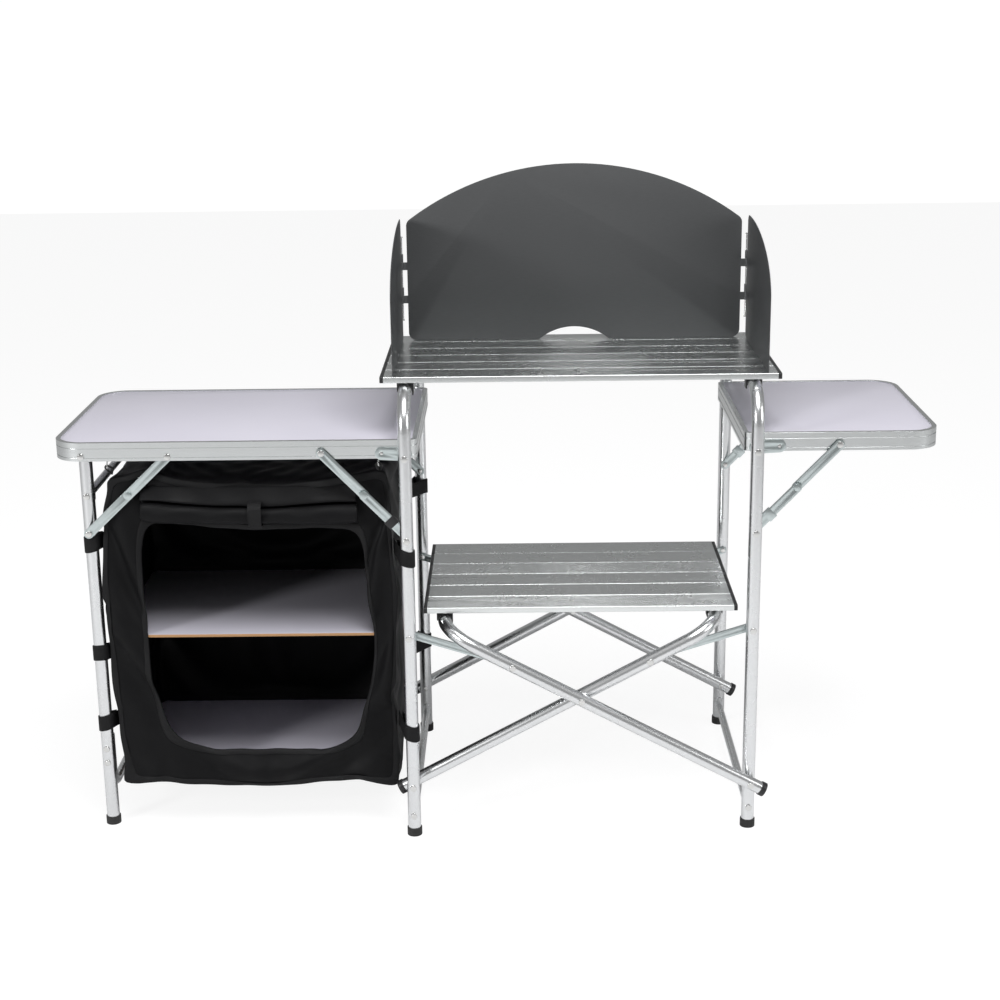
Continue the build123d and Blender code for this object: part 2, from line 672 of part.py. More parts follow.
# -------------------------------------------------------------------- assembly
def build():
    """Return {name: solid or list of solids} for every piece."""
    rows = slat_rows()
    cross_a, end_a = cross_frame(-1)
    cross_b, end_b = cross_frame(1)
    nodes = {
        "left_leg_frame": leg_frame(-1), "right_leg_frame": leg_frame(1),
        "cross_frame_a": cross_a, "cross_frame_b": cross_b,
        "cross_frame_caps": cross_caps([(-1, end_a), (1, end_b)]),
        "leg_stretchers": [stretcher(h) for h in SIDES],
        "cross_links": links(-1) + links(1),
    }
    feet_at = [(h * LEG_X, tube_y(h * PLANE, s)) for h in SIDES for s in SIDES]
    feet_at += [(-END_X, -PLANE + s * END_HALF) for s in SIDES]
    nodes["rubber_feet"] = feet(feet_at)
    for name, top, half, bar_x, bar_z in (("hob", HOB_TOP, HOB_HALF, LEG_X, HOB_BAR_Z),
                                          ("lower", LOWER_TOP, LOWER_HALF, CROSS_BAR_X, CROSS_BAR_Z)):
        for i, row in enumerate(rows, 1):
            nodes[f"{name}_slat_{i}"] = slat(top, half, row, rows)
        nodes[f"{name}_end_caps"] = [c for hand in SIDES for c in end_caps(top, half, hand, rows)]
        nodes[f"{name}_shelf_cords"] = shelf_cords(top, half, rows)
        nodes[f"{name}_shelf_clips"] = clips(top - SLAT_T, bar_x, bar_z)

    for hand, word, out in ((-1, "left", LEFT_OUT), (1, "right", RIGHT_OUT)):
        spots = [(LEG_X, HINGE_Z), BRACKET_SCREW, STAY_TOP]
        if hand < 0:
            spots += [(END_X, END_PIVOT_Z), STAY_END_TOP]
        nodes[f"{word}_table_board"] = table_board(out, hand)
        nodes[f"{word}_table_edge"] = table_edge(out, hand, spots)
        nodes[f"{word}_table_brackets"] = brackets(hand, 2.5)
        nodes[f"{word}_table_screws"] = table_screws(hand, [STAY_TOP])

    stays = {side: near_stay(-1, side) for side in SIDES}
    outer = {side: end_stay(side) for side in SIDES}
    nodes["left_inner_stays"] = [stays[s][i] for s in SIDES for i in (0, 1, 2, 3)]
    nodes["left_stay_sleeves"] = [stays[s][4] for s in SIDES]
    nodes["left_outer_stays"] = [outer[s][i] for s in SIDES for i in (0, 1, 2)]
    for side, word in ((-1, "front"), (1, "rear")):
        lower, upper, outer_pin, inner_pin, sleeve = near_stay(1, side)
        nodes[f"right_{word}_stay_lower"] = [lower, outer_pin, sleeve]
        nodes[f"right_{word}_stay_upper"] = [upper, inner_pin]

    metal, plastic = end_fixings()
    nodes["left_end_leg_front"], nodes["left_end_leg_rear"] = end_leg(-1), end_leg(1)
    nodes["left_end_rail"], nodes["left_end_bar"] = end_rail(), end_bar()
    nodes["frame_rivets"] = frame_rivets() + metal
    nodes["hinge_bolts"] = hinge_bolts(-1) + hinge_bolts(1)
    nodes["spacer_bushes"] = hinge_bushes(-1) + hinge_bushes(1) + plastic

    roll, tie = door()
    nodes["cupboard_shell"] = shell()
    nodes["cupboard_shelf_board"] = cupboard_board(SHELF_BOARD_Z, 0.1)
    nodes["cupboard_floor_board"] = cupboard_board(BOX_Z[0] + CLOTH + CLEAR, 0.6)
    nodes["cupboard_door_roll"], nodes["cupboard_door_tie"] = roll, tie
    nodes["cupboard_straps"] = straps_on_end_legs() + straps_on_main_legs()
    nodes["cupboard_hangers"] = hangers()

    nodes["windshield_centre"] = shield_centre()
    nodes["windshield_left_wing"], nodes["windshield_right_wing"] = shield_wing(-1), shield_wing(1)
    nodes["windshield_hinge_rods"] = [hinge_rod(h) for h in SIDES]
    return nodes


def main():
    """Write one STEP file per piece."""
    os.makedirs("parts", exist_ok=True)
    for name, shape in build().items():
        solids = shape if isinstance(shape, list) else [shape]
        moved = [Pos(MOVE_X, 0, 0) * s for s in solids]
        export_step(Compound(children=moved) if len(moved) > 1 else moved[0], f"parts/{name}.step")


main()
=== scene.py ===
"""Looks of the folding camp kitchen: finishes, sewn cupboard, straps and a studio to see them in."""

from __future__ import annotations

import json
import logging
import math
from dataclasses import dataclass, field
from enum import Enum

import bpy
import numpy as np
from mathutils import Matrix, Vector

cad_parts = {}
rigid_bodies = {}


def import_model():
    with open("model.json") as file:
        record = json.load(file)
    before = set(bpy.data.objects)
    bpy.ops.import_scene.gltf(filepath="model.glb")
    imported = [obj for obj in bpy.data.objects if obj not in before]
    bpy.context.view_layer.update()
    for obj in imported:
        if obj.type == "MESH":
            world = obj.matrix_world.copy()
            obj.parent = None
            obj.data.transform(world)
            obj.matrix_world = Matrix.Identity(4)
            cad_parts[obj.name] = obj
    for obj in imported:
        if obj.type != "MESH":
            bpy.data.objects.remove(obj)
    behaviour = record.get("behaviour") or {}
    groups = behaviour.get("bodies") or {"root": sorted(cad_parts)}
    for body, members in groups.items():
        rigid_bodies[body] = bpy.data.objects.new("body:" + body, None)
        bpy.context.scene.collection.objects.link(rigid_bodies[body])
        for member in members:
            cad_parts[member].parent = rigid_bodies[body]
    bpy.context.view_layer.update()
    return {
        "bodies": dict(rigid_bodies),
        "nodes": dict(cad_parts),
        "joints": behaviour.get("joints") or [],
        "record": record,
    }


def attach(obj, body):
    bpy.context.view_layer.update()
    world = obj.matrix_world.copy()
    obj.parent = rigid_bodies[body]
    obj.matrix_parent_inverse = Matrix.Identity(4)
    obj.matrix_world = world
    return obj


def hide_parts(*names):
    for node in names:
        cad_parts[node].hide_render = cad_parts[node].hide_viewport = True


LOG = logging.getLogger("camp_kitchen")
Point = tuple[float, float, float]
Colour = tuple[float, float, float, float]


class Shading(Enum):
    """How a piece's faces are shaded."""

    BY_ANGLE = "by_angle"
    SMOOTH = "smooth"


# ------------------------------------------------------------------ mesh tools
def deselect() -> None:
    """Leave object mode clean, with nothing selected."""
    if bpy.context.object and bpy.context.object.mode != "OBJECT":
        bpy.ops.object.mode_set(mode="OBJECT")
    bpy.ops.object.select_all(action="DESELECT")


def activate(obj: bpy.types.Object) -> None:
    """Select one object alone and make it active.

    Args:
        obj: the object to work on.
    """
    deselect()
    obj.select_set(True)
    bpy.context.view_layer.objects.active = obj


def take(name: str) -> bpy.types.Object:
    """Name the active object and its mesh.

    Args:
        name: the new name.

    Returns:
        The object.
    """
    obj = bpy.context.object
    obj.name = name
    obj.data.name = name
    return obj


def settle(obj: bpy.types.Object) -> bpy.types.Object:
    """Put an object's place into its mesh, so that it sits at the origin.

    Args:
        obj: the object to settle.

    Returns:
        The same object.
    """
    activate(obj)
    bpy.ops.object.transform_apply(location=True, rotation=True, scale=True)
    return obj


def apply_all(obj: bpy.types.Object) -> None:
    """Apply every modifier, first to last.

    Args:
        obj: the object whose modifiers are applied.
    """
    activate(obj)
    for name in [m.name for m in obj.modifiers]:
        bpy.ops.object.modifier_apply(modifier=name)


def shade(obj: bpy.types.Object, how: Shading, degrees: float = 34.0) -> None:
    """Shade an object's faces.

    Args:
        obj: the object.
        how: smooth all over, or smooth below an angle.
        degrees: that angle.
    """
    activate(obj)
    if how is Shading.SMOOTH:
        bpy.ops.object.shade_smooth()
    else:
        bpy.ops.object.shade_smooth_by_angle(angle=math.radians(degrees))


def join(parts: list[bpy.types.Object], name: str) -> bpy.types.Object:
    """Join pieces into one object.

    Args:
        parts: the pieces, one or more.
        name: the joined object's name.

    Returns:
        The joined object.
    """
    deselect()
    for part in parts:
        part.select_set(True)
    bpy.context.view_layer.objects.active = parts[0]
    if len(parts) > 1:
        bpy.ops.object.join()
    return take(name)


def outward(obj: bpy.types.Object) -> None:
    """Merge doubles and turn every face outwards.

    Args:
        obj: a mesh whose surface is closed or single-sided.
    """
    activate(obj)
    bpy.ops.object.mode_set(mode="EDIT")
    bpy.ops.mesh.select_all(action="SELECT")
    bpy.ops.mesh.remove_doubles(threshold=0.00002)
    bpy.ops.mesh.normals_make_consistent(inside=False)
    bpy.ops.object.mode_set(mode="OBJECT")


def from_faces(name: str, points: list[Point] | np.ndarray, faces: list[list[int]]) -> bpy.types.Object:
    """Sheet of cloth from its points and faces.

    Args:
        name: the object's name.
        points: vertex places in the row frame, metres.
        faces: vertex indices of each face.

    Returns:
        The new object.
    """
    mesh = bpy.data.meshes.new(name)
    mesh.from_pydata([tuple(map(float, p)) for p in points], [], faces)
    mesh.update()
    obj = bpy.data.objects.new(name, mesh)
    bpy.context.scene.collection.objects.link(obj)
    return obj


def places(obj: bpy.types.Object) -> np.ndarray:
    """Vertex places of a mesh, one row each."""
    flat = np.empty(len(obj.data.vertices) * 3)
    obj.data.vertices.foreach_get("co", flat)
    return flat.reshape(-1, 3)


def set_places(obj: bpy.types.Object, points: np.ndarray) -> None:
    """Move a mesh's vertices.

    Args:
        obj: the mesh's object.
        points: new places, one row each.
    """
    obj.data.vertices.foreach_set("co", points.reshape(-1))
    obj.data.update()


def tube_along(name: str, path: list[Point], radius: float, sides: int = 10) -> bpy.types.Object:
    """Round cord or wire along a smooth path, with closed ends.

    Args:
        name: the object's name.
        path: points on the centreline, metres.
        radius: radius of the cord.
        sides: faces round the cord.

    Returns:
        The tube as a mesh.
    """
    curve = bpy.data.curves.new(name, "CURVE")
    curve.dimensions, curve.bevel_depth, curve.resolution_u = "3D", radius, 5
    curve.bevel_resolution, curve.use_fill_caps = max(1, sides // 4), True
    line = curve.splines.new("BEZIER")
    line.bezier_points.add(len(path) - 1)
    for spot, point in zip(line.bezier_points, path):
        spot.co = point
        spot.handle_left_type = spot.handle_right_type = "AUTO"
    obj = bpy.data.objects.new(name, curve)
    bpy.context.scene.collection.objects.link(obj)
    activate(obj)
    bpy.ops.object.convert(target="MESH")
    obj = take(name)
    outward(obj)
    shade(obj, Shading.BY_ANGLE, 50)
    return obj


# ------------------------------------------------------- shared shader effects
@dataclass
class NodeDesk:
    """Short ways to add and wire nodes in one tree."""

    tree: bpy.types.NodeTree

    def add(self, kind: str, **values: object) -> bpy.types.Node:
        """Add a node and set its properties.

        Args:
            kind: node type.
            values: properties by name.

        Returns:
            The node.
        """
        node = self.tree.nodes.new(kind)
        for key, value in values.items():
            setattr(node, key, value)
        return node

    def wire(self, out: bpy.types.NodeSocket, into: bpy.types.NodeSocket) -> None:
        """Connect an output to an input."""
        self.tree.links.new(out, into)

    def math(self, what: str, a: object, b: object) -> bpy.types.NodeSocket:
        """Add a math node.

        Args:
            what: the operation.
            a: first socket or number.
            b: second socket or number.

        Returns:
            The result's socket.
        """
        node = self.add("ShaderNodeMath", operation=what)
        for socket, value in zip(node.inputs, (a, b)):
            if isinstance(value, (int, float)):
                socket.default_value = value
            else:
                self.wire(value, socket)
        return node.outputs[0]

    def spread(self, value: bpy.types.NodeSocket, low: object, high: object,
               start: float = 0.0, end: float = 1.0) -> bpy.types.NodeSocket:
        """Map a value from start..end to low..high.

        Args:
            value: the socket to map.
            low: result at start, a number or a socket.
            high: result at end, a number or a socket.
            start: lowest input.
            end: highest input.

        Returns:
            The mapped value's socket.
        """
        node = self.add("ShaderNodeMapRange")
        node.inputs["From Min"].default_value, node.inputs["From Max"].default_value = start, end
        for name, item in (("To Min", low), ("To Max", high)):
            if isinstance(item, (int, float)):
                node.inputs[name].default_value = item
            else:
                self.wire(item, node.inputs[name])
        self.wire(value, node.inputs["Value"])
        return node.outputs["Result"]

    def blend(self, mask: bpy.types.NodeSocket, a: object, b: object) -> bpy.types.NodeSocket:
        """Mix two colours by a mask.

        Args:
            mask: 0 gives a, 1 gives b.
            a: colour or socket.
            b: colour or socket.

        Returns:
            The mixed colour's socket.
        """
        node = self.add("ShaderNodeMix", data_type="RGBA")
        self.wire(mask, node.inputs[0])
        for socket, value in ((node.inputs[6], a), (node.inputs[7], b)):
            if isinstance(value, tuple):
                socket.default_value = value
            else:
                self.wire(value, socket)
        return node.outputs[2]


@dataclass
class EffectGroups:
    """Shader node groups that several finishes share, each built once."""

    made: dict[str, bpy.types.NodeTree] = field(default_factory=dict)

    def start(self, name: str, inputs: dict[str, float | None],
              outputs: dict[str, str]) -> tuple[NodeDesk, bpy.types.Node, bpy.types.Node]:
        """Begin a group with its sockets.

        Args:
            name: the group's name.
            inputs: number inputs with their defaults; None makes a vector.
            outputs: outputs with their socket types.

        Returns:
            Node desk, group input and group output.
        """
        tree = bpy.data.node_groups.new(name, "ShaderNodeTree")
        for key, value in inputs.items():
            kind = "NodeSocketVector" if value is None else "NodeSocketFloat"
            socket = tree.interface.new_socket(key, in_out="INPUT", socket_type=kind)
            if value is not None:
                socket.default_value = value
        for key, kind in outputs.items():
            tree.interface.new_socket(key, in_out="OUTPUT", socket_type=kind)
        desk = NodeDesk(tree)
        self.made[name] = tree
        return desk, desk.add("NodeGroupInput"), desk.add("NodeGroupOutput")

    def grain(self) -> bpy.types.NodeTree:
        """Fine drawn lines along one axis, over a slow cloudiness.

        Returns:
            Group with Lines and Clouds, both 0 to 1.
        """
        name = "drawn grain"
        if name in self.made:
            return self.made[name]
        given = {"Place": None, "Stretch": None, "Fineness": 900.0, "Cloud size": 9.0}
        desk, come, go = self.start(name, given, {"Lines": "NodeSocketFloat", "Clouds": "NodeSocketFloat"})
        move = desk.add("ShaderNodeVectorMath", operation="MULTIPLY")
        desk.wire(come.outputs["Place"], move.inputs[0])
        desk.wire(come.outputs["Stretch"], move.inputs[1])
        lines = desk.add("ShaderNodeTexNoise")
        lines.inputs["Detail"].default_value = 3.0
        desk.wire(move.outputs[0], lines.inputs["Vector"])
        desk.wire(come.outputs["Fineness"], lines.inputs["Scale"])
        clouds = desk.add("ShaderNodeTexNoise")
        clouds.inputs["Detail"].default_value = 4.0
        desk.wire(come.outputs["Place"], clouds.inputs["Vector"])
        desk.wire(come.outputs["Cloud size"], clouds.inputs["Scale"])
        desk.wire(lines.outputs["Fac"], go.inputs["Lines"])
        desk.wire(clouds.outputs["Fac"], go.inputs["Clouds"])
        return self.made[name]

    def wear(self) -> bpy.types.NodeTree:
        """Rubbed spots and faint dust that gathers on upward faces.

        Returns:
            Group with Rub and Dust masks.
        """
        name = "wear and dust"
        if name in self.made:
            return self.made[name]
        given = {"Place": None, "Facing": None, "Rub amount": 0.2, "Dust amount": 0.1}
        desk, come, go = self.start(name, given, {"Rub": "NodeSocketFloat", "Dust": "NodeSocketFloat"})
        spots = desk.add("ShaderNodeTexNoise")
        spots.inputs["Scale"].default_value = 34.0
        spots.inputs["Detail"].default_value = 6.0
        spots.inputs["Roughness"].default_value = 0.62
        desk.wire(come.outputs["Place"], spots.inputs["Vector"])
        rub = desk.spread(spots.outputs["Fac"], 0.0, 1.0, 0.56, 0.74)
        desk.wire(desk.math("MULTIPLY", rub, come.outputs["Rub amount"]), go.inputs["Rub"])
        parts = desk.add("ShaderNodeSeparateXYZ")
        desk.wire(come.outputs["Facing"], parts.inputs[0])
        up = desk.spread(parts.outputs["Z"], 0.0, 1.0, 0.3, 1.0)
        fine = desk.add("ShaderNodeTexNoise")
        fine.inputs["Scale"].default_value = 260.0
        fine.inputs["Detail"].default_value = 5.0
        desk.wire(come.outputs["Place"], fine.inputs["Vector"])
        dust = desk.math("MULTIPLY", up, desk.spread(fine.outputs["Fac"], 0.0, 1.0, 0.45, 0.8))
        desk.wire(desk.math("MULTIPLY", dust, come.outputs["Dust amount"]), go.inputs["Dust"])
        return self.made[name]

    def weave(self) -> bpy.types.NodeTree:
        """Plain weave of crossing threads on Object coordinates.

        Returns:
            Group with Height and Thread, both 0 to 1.
        """
        name = "plain weave"
        if name in self.made:
            return self.made[name]
        desk, come, go = self.start(name, {"Place": None, "Threads": 900.0},
                                    {"Height": "NodeSocketFloat", "Thread": "NodeSocketFloat"})
        parts = desk.add("ShaderNodeSeparateXYZ")
        desk.wire(come.outputs["Place"], parts.inputs[0])
        flat = desk.math("ADD", parts.outputs["X"], parts.outputs["Y"])
        warp = desk.math("SINE", desk.math("MULTIPLY", flat, come.outputs["Threads"]), 0.0)
        weft = desk.math("SINE", desk.math("MULTIPLY", parts.outputs["Z"], come.outputs["Threads"]), 0.0)
        cross = desk.math("MULTIPLY", warp, weft)
        height = desk.spread(cross, 0.0, 1.0, -1.0, 1.0)
        loose = desk.add("ShaderNodeTexNoise")
        loose.inputs["Scale"].default_value = 420.0
        desk.wire(come.outputs["Place"], loose.inputs["Vector"])
        desk.wire(desk.math("ADD", desk.math("MULTIPLY", height, 0.7),
                            desk.math("MULTIPLY", loose.outputs["Fac"], 0.3)), go.inputs["Height"])
        desk.wire(height, go.inputs["Thread"])
        return self.made[name]


# -------------------------------------------------------------------- finishes
@dataclass(frozen=True)
class Finish:
    """A finish built on the Principled shader, with grain, wear and dust."""

    name: str
    colour: Colour
    second: Colour
    metallic: float = 0.0
    roughness: float = 0.5
    rough_swing: float = 0.08
    bump: float = 0.0
    bump_depth: float = 0.0004
    stretch: Point = (1.0, 1.0, 1.0)
    fineness: float = 900.0
    cloud: float = 9.0
    rub: float = 0.1
    dust: float = 0.08
    dust_colour: Colour = (0.45, 0.43, 0.40, 1.0)
    specular: float = 0.5
    coat: float = 0.0
    coat_rough: float = 0.2
    sheen: float = 0.0
    anisotropy: float = 0.0

    def build(self, groups: EffectGroups) -> bpy.types.Material:
        """Make the material.

        Args:
            groups: the shared effects.

        Returns:
            The material.
        """
        material = bpy.data.materials.new(self.name)
        material.use_nodes = True
        material.diffuse_color = self.colour
        desk = NodeDesk(material.node_tree)
        shader = material.node_tree.nodes["Principled BSDF"]
        shader.inputs["Metallic"].default_value = self.metallic
        shader.inputs["Specular IOR Level"].default_value = self.specular
        shader.inputs["Coat Weight"].default_value = self.coat
        shader.inputs["Coat Roughness"].default_value = self.coat_rough
        shader.inputs["Sheen Weight"].default_value = self.sheen
        shader.inputs["Sheen Roughness"].default_value = 0.45
        shader.inputs["Anisotropic"].default_value = self.anisotropy
        self.dress(desk, shader, groups)
        return material

    def place(self, desk: NodeDesk) -> bpy.types.Node:
        """Texture Coordinate node, whose Object output all patterns read."""
        return desk.add("ShaderNodeTexCoord")

    def dress(self, desk: NodeDesk, shader: bpy.types.Node, groups: EffectGroups) -> None:
        """Wire colour, roughness and bump.

        Args:
            desk: the material's nodes.
            shader: its Principled shader.
            groups: the shared effects.
        """
        coords = self.place(desk)
        grain = self.grain_node(desk, coords, groups)
        wear = self.wear_node(desk, coords, groups)
        patches = desk.spread(grain.outputs["Lines"], 0.0, 1.0, 0.35, 0.65)
        tone = desk.blend(patches, self.colour, self.second)
        tone = desk.blend(wear.outputs["Dust"], tone, self.dust_colour)
        desk.wire(tone, shader.inputs["Base Color"])
        rough = desk.spread(grain.outputs["Clouds"], self.roughness - self.rough_swing,
                            self.roughness + self.rough_swing, 0.35, 0.65)
        rough = desk.math("ADD", rough, desk.math("MULTIPLY", wear.outputs["Rub"], 0.25))
        desk.wire(rough, shader.inputs["Roughness"])
        if self.bump:
            self.raise_bump(desk, shader, grain.outputs["Lines"])

    def grain_node(self, desk: NodeDesk, coords: bpy.types.Node, groups: EffectGroups) -> bpy.types.Node:
        """Place the grain group with this finish's values.

        Args:
            desk: the material's nodes.
            coords: its texture coordinates.
            groups: the shared effects.

        Returns:
            The group node.
        """
        node = desk.add("ShaderNodeGroup", node_tree=groups.grain())
        desk.wire(coords.outputs["Object"], node.inputs["Place"])
        node.inputs["Stretch"].default_value = self.stretch
        node.inputs["Fineness"].default_value = self.fineness
        node.inputs["Cloud size"].default_value = self.cloud
        return node

    def wear_node(self, desk: NodeDesk, coords: bpy.types.Node, groups: EffectGroups) -> bpy.types.Node:
        """Place the wear and dust group with this finish's values.

        Args:
            desk: the material's nodes.
            coords: its texture coordinates.
            groups: the shared effects.

        Returns:
            The group node.
        """
        node = desk.add("ShaderNodeGroup", node_tree=groups.wear())
        desk.wire(coords.outputs["Object"], node.inputs["Place"])
        desk.wire(coords.outputs["Normal"], node.inputs["Facing"])
        node.inputs["Rub amount"].default_value = self.rub
        node.inputs["Dust amount"].default_value = self.dust
        return node

    def raise_bump(self, desk: NodeDesk, shader: bpy.types.Node, height: bpy.types.NodeSocket) -> None:
        """Feed a height to the shader's normal.

        Args:
            desk: the material's nodes.
            shader: its Principled shader.
            height: the height, 0 to 1.
        """
        bump = desk.add("ShaderNodeBump")
        bump.inputs["Strength"].default_value = self.bump
        bump.inputs["Distance"].default_value = self.bump_depth
        desk.wire(height, bump.inputs["Height"])
        desk.wire(bump.outputs["Normal"], shader.inputs["Normal"])


@dataclass(frozen=True)
class WovenFinish(Finish):
    """Cloth or webbing with a plain weave."""

    threads: float = 5200.0

    def dress(self, desk: NodeDesk, shader: bpy.types.Node, groups: EffectGroups) -> None:
        """Wire colour, roughness and weave.

        Args:
            desk: the material's nodes.
            shader: its Principled shader.
            groups: the shared effects.
        """
        coords = self.place(desk)
        grain = self.grain_node(desk, coords, groups)
        wear = self.wear_node(desk, coords, groups)
        weave = desk.add("ShaderNodeGroup", node_tree=groups.weave())
        desk.wire(coords.outputs["Object"], weave.inputs["Place"])
        weave.inputs["Threads"].default_value = self.threads
        tone = desk.blend(weave.outputs["Thread"], self.colour, self.second)
        tone = desk.blend(wear.outputs["Dust"], tone, self.dust_colour)
        desk.wire(tone, shader.inputs["Base Color"])
        desk.wire(desk.spread(grain.outputs["Clouds"], self.roughness - self.rough_swing,
                              self.roughness + self.rough_swing, 0.35, 0.65), shader.inputs["Roughness"])
        self.raise_bump(desk, shader, weave.outputs["Height"])


@dataclass(frozen=True)
class ZincFinish(Finish):
    """Zinc plate with crystals of slightly different brightness."""

    crystal: float = 210.0

    def dress(self, desk: NodeDesk, shader: bpy.types.Node, groups: EffectGroups) -> None:
        """Wire crystals into colour and roughness.

        Args:
            desk: the material's nodes.
            shader: its Principled shader.
            groups: the shared effects.
        """
        coords = self.place(desk)
        grain = self.grain_node(desk, coords, groups)
        wear = self.wear_node(desk, coords, groups)
        cells = desk.add("ShaderNodeTexVoronoi", feature="F1")
        cells.inputs["Scale"].default_value = self.crystal
        desk.wire(coords.outputs["Object"], cells.inputs["Vector"])
        parts = desk.add("ShaderNodeSeparateColor")
        desk.wire(cells.outputs["Color"], parts.inputs[0])
        tone = desk.blend(parts.outputs[0], self.colour, self.second)
        tone = desk.blend(wear.outputs["Dust"], tone, self.dust_colour)
        desk.wire(tone, shader.inputs["Base Color"])
        rough = desk.spread(parts.outputs[1], self.roughness - self.rough_swing,
                            self.roughness + self.rough_swing)
        desk.wire(desk.math("ADD", rough, desk.math("MULTIPLY", wear.outputs["Rub"], 0.2)),
                  shader.inputs["Roughness"])
        if self.bump:
            self.raise_bump(desk, shader, grain.outputs["Lines"])


@dataclass(frozen=True)
class BoardFinish(Finish):
    """Laminate on the two faces of a board, fibre core along its edges."""

    core: Colour = (0.33, 0.17, 0.07, 1.0)

    def dress(self, desk: NodeDesk, shader: bpy.types.Node, groups: EffectGroups) -> None:
        """Wire laminate and core by the way each face looks.

        Args:
            desk: the material's nodes.
            shader: its Principled shader.
            groups: the shared effects.
        """
        coords = self.place(desk)
        grain = self.grain_node(desk, coords, groups)
        wear = self.wear_node(desk, coords, groups)
        parts = desk.add("ShaderNodeSeparateXYZ")
        desk.wire(coords.outputs["Normal"], parts.inputs[0])
        level = desk.math("ABSOLUTE", parts.outputs["Z"], 0.0)
        face = desk.math("GREATER_THAN", level, 0.6)
        patches = desk.spread(grain.outputs["Clouds"], 0.0, 1.0, 0.35, 0.65)
        tone = desk.blend(patches, self.colour, self.second)
        fibre = desk.blend(grain.outputs["Lines"], self.core, (0.46, 0.27, 0.13, 1.0))
        tone = desk.blend(face, fibre, tone)
        tone = desk.blend(wear.outputs["Dust"], tone, self.dust_colour)
        desk.wire(tone, shader.inputs["Base Color"])
        rough = desk.spread(face, 0.8, self.roughness)
        desk.wire(desk.math("ADD", rough, desk.math("MULTIPLY", wear.outputs["Rub"], 0.2)),
                  shader.inputs["Roughness"])
        self.raise_bump(desk, shader, grain.outputs["Lines"])


ALL_FINISHES: dict[str, Finish] = {
    "frame_tube": Finish("drawn aluminium tube", (0.74, 0.75, 0.755, 1), (0.70, 0.71, 0.72, 1), metallic=1.0,
                         roughness=0.27, rough_swing=0.012, stretch=(1, 1, 0.6), fineness=500,
                         rub=0.03, dust=0.01),
    "slat_aluminium": Finish("extruded slat", (0.74, 0.76, 0.757, 1), (0.71, 0.73, 0.727, 1), metallic=1.0,
                             roughness=0.27, rough_swing=0.006, stretch=(0.02, 1, 1), fineness=900,
                             rub=0.03, dust=0.008),
    "edge_aluminium": Finish("fluted edge profile", (0.70, 0.72, 0.72, 1), (0.67, 0.69, 0.69, 1),
                             metallic=1.0, roughness=0.26, rough_swing=0.012, stretch=(0.06, 0.06, 1),
                             fineness=900, rub=0.03, dust=0.01),
    "galvanised": ZincFinish("zinc-plated strip", (0.50, 0.555, 0.555, 1), (0.54, 0.595, 0.595, 1),
                             metallic=1.0, roughness=0.30, rough_swing=0.010, fineness=900, crystal=160.0,
                             rub=0.05, dust=0.01),
    "fastener": ZincFinish("bright zinc fastener", (0.62, 0.62, 0.61, 1), (0.68, 0.68, 0.67, 1), metallic=1.0,
                           roughness=0.20, rough_swing=0.010, fineness=1800, crystal=520.0,
                           rub=0.05, dust=0.01),
    "hinge_rod": Finish("bright wire", (0.50, 0.50, 0.50, 1), (0.44, 0.44, 0.44, 1), metallic=1.0,
                        roughness=0.25, stretch=(1, 1, 0.05), fineness=900, rub=0.03, dust=0.01),
    "laminate": BoardFinish("lavender laminate", (0.585, 0.57, 0.64, 1), (0.555, 0.54, 0.612, 1),
                            roughness=0.36, bump=0.10, bump_depth=0.00003, fineness=1600,
                            cloud=3.0, rub=0.2, dust=0.03),
    "shield_sheet": Finish("grey powder-coated sheet", (0.060, 0.062, 0.064, 1), (0.066, 0.068, 0.070, 1),
                           metallic=0.25, roughness=0.42, rough_swing=0.02, bump=0.10, bump_depth=0.00002,
                           stretch=(0.05, 0.4, 1), fineness=1400, cloud=2.2,
                           rub=0.08, dust=0.01, specular=0.5),
    "black_cap": Finish("moulded black plastic", (0.009, 0.009, 0.010, 1), (0.014, 0.014, 0.015, 1),
                        roughness=0.42, bump=0.12, bump_depth=0.00008, fineness=2400, rub=0.3, dust=0.02),
    "foot_rubber": Finish("black rubber", (0.010, 0.010, 0.010, 1), (0.018, 0.018, 0.018, 1), roughness=0.66,
                          bump=0.25, bump_depth=0.0001, fineness=1500, rub=0.4, dust=0.08),
    "shock_cord": WovenFinish("braided elastic cord", (0.006, 0.006, 0.006, 1), (0.014, 0.014, 0.015, 1),
                              roughness=0.7, bump=0.5, bump_depth=0.0002, threads=4200.0, sheen=0.05),
    "cupboard_cloth": WovenFinish("coated polyester cloth", (0.0015, 0.0015, 0.0019, 1),
                                  (0.0026, 0.0026, 0.0032, 1), roughness=0.58, rough_swing=0.07, bump=0.30,
                                  bump_depth=0.0001, threads=4800.0, specular=0.16, dust=0.004),
    "strap_webbing": WovenFinish("ribbed webbing", (0.0024, 0.0024, 0.0028, 1), (0.0055, 0.0055, 0.0062, 1),
                                 roughness=0.66, rough_swing=0.06, bump=0.6, bump_depth=0.0003,
                                 threads=2600.0, specular=0.25, dust=0.01),
}


@dataclass
class Wardrobe:
    """Makes each finish once and puts it on pieces."""

    groups: EffectGroups
    made: dict[str, bpy.types.Material] = field(default_factory=dict)

    def material(self, slot: str) -> bpy.types.Material:
        """The material of a slot, built at its first use."""
        if slot not in self.made:
            self.made[slot] = ALL_FINISHES[slot].build(self.groups)
        return self.made[slot]

    def dress(self, obj: bpy.types.Object, slot: str) -> None:
        """Give an object one finish.

        Args:
            obj: the object.
            slot: the record's material slot.
        """
        obj.data.materials.clear()
        obj.data.materials.append(self.material(slot))


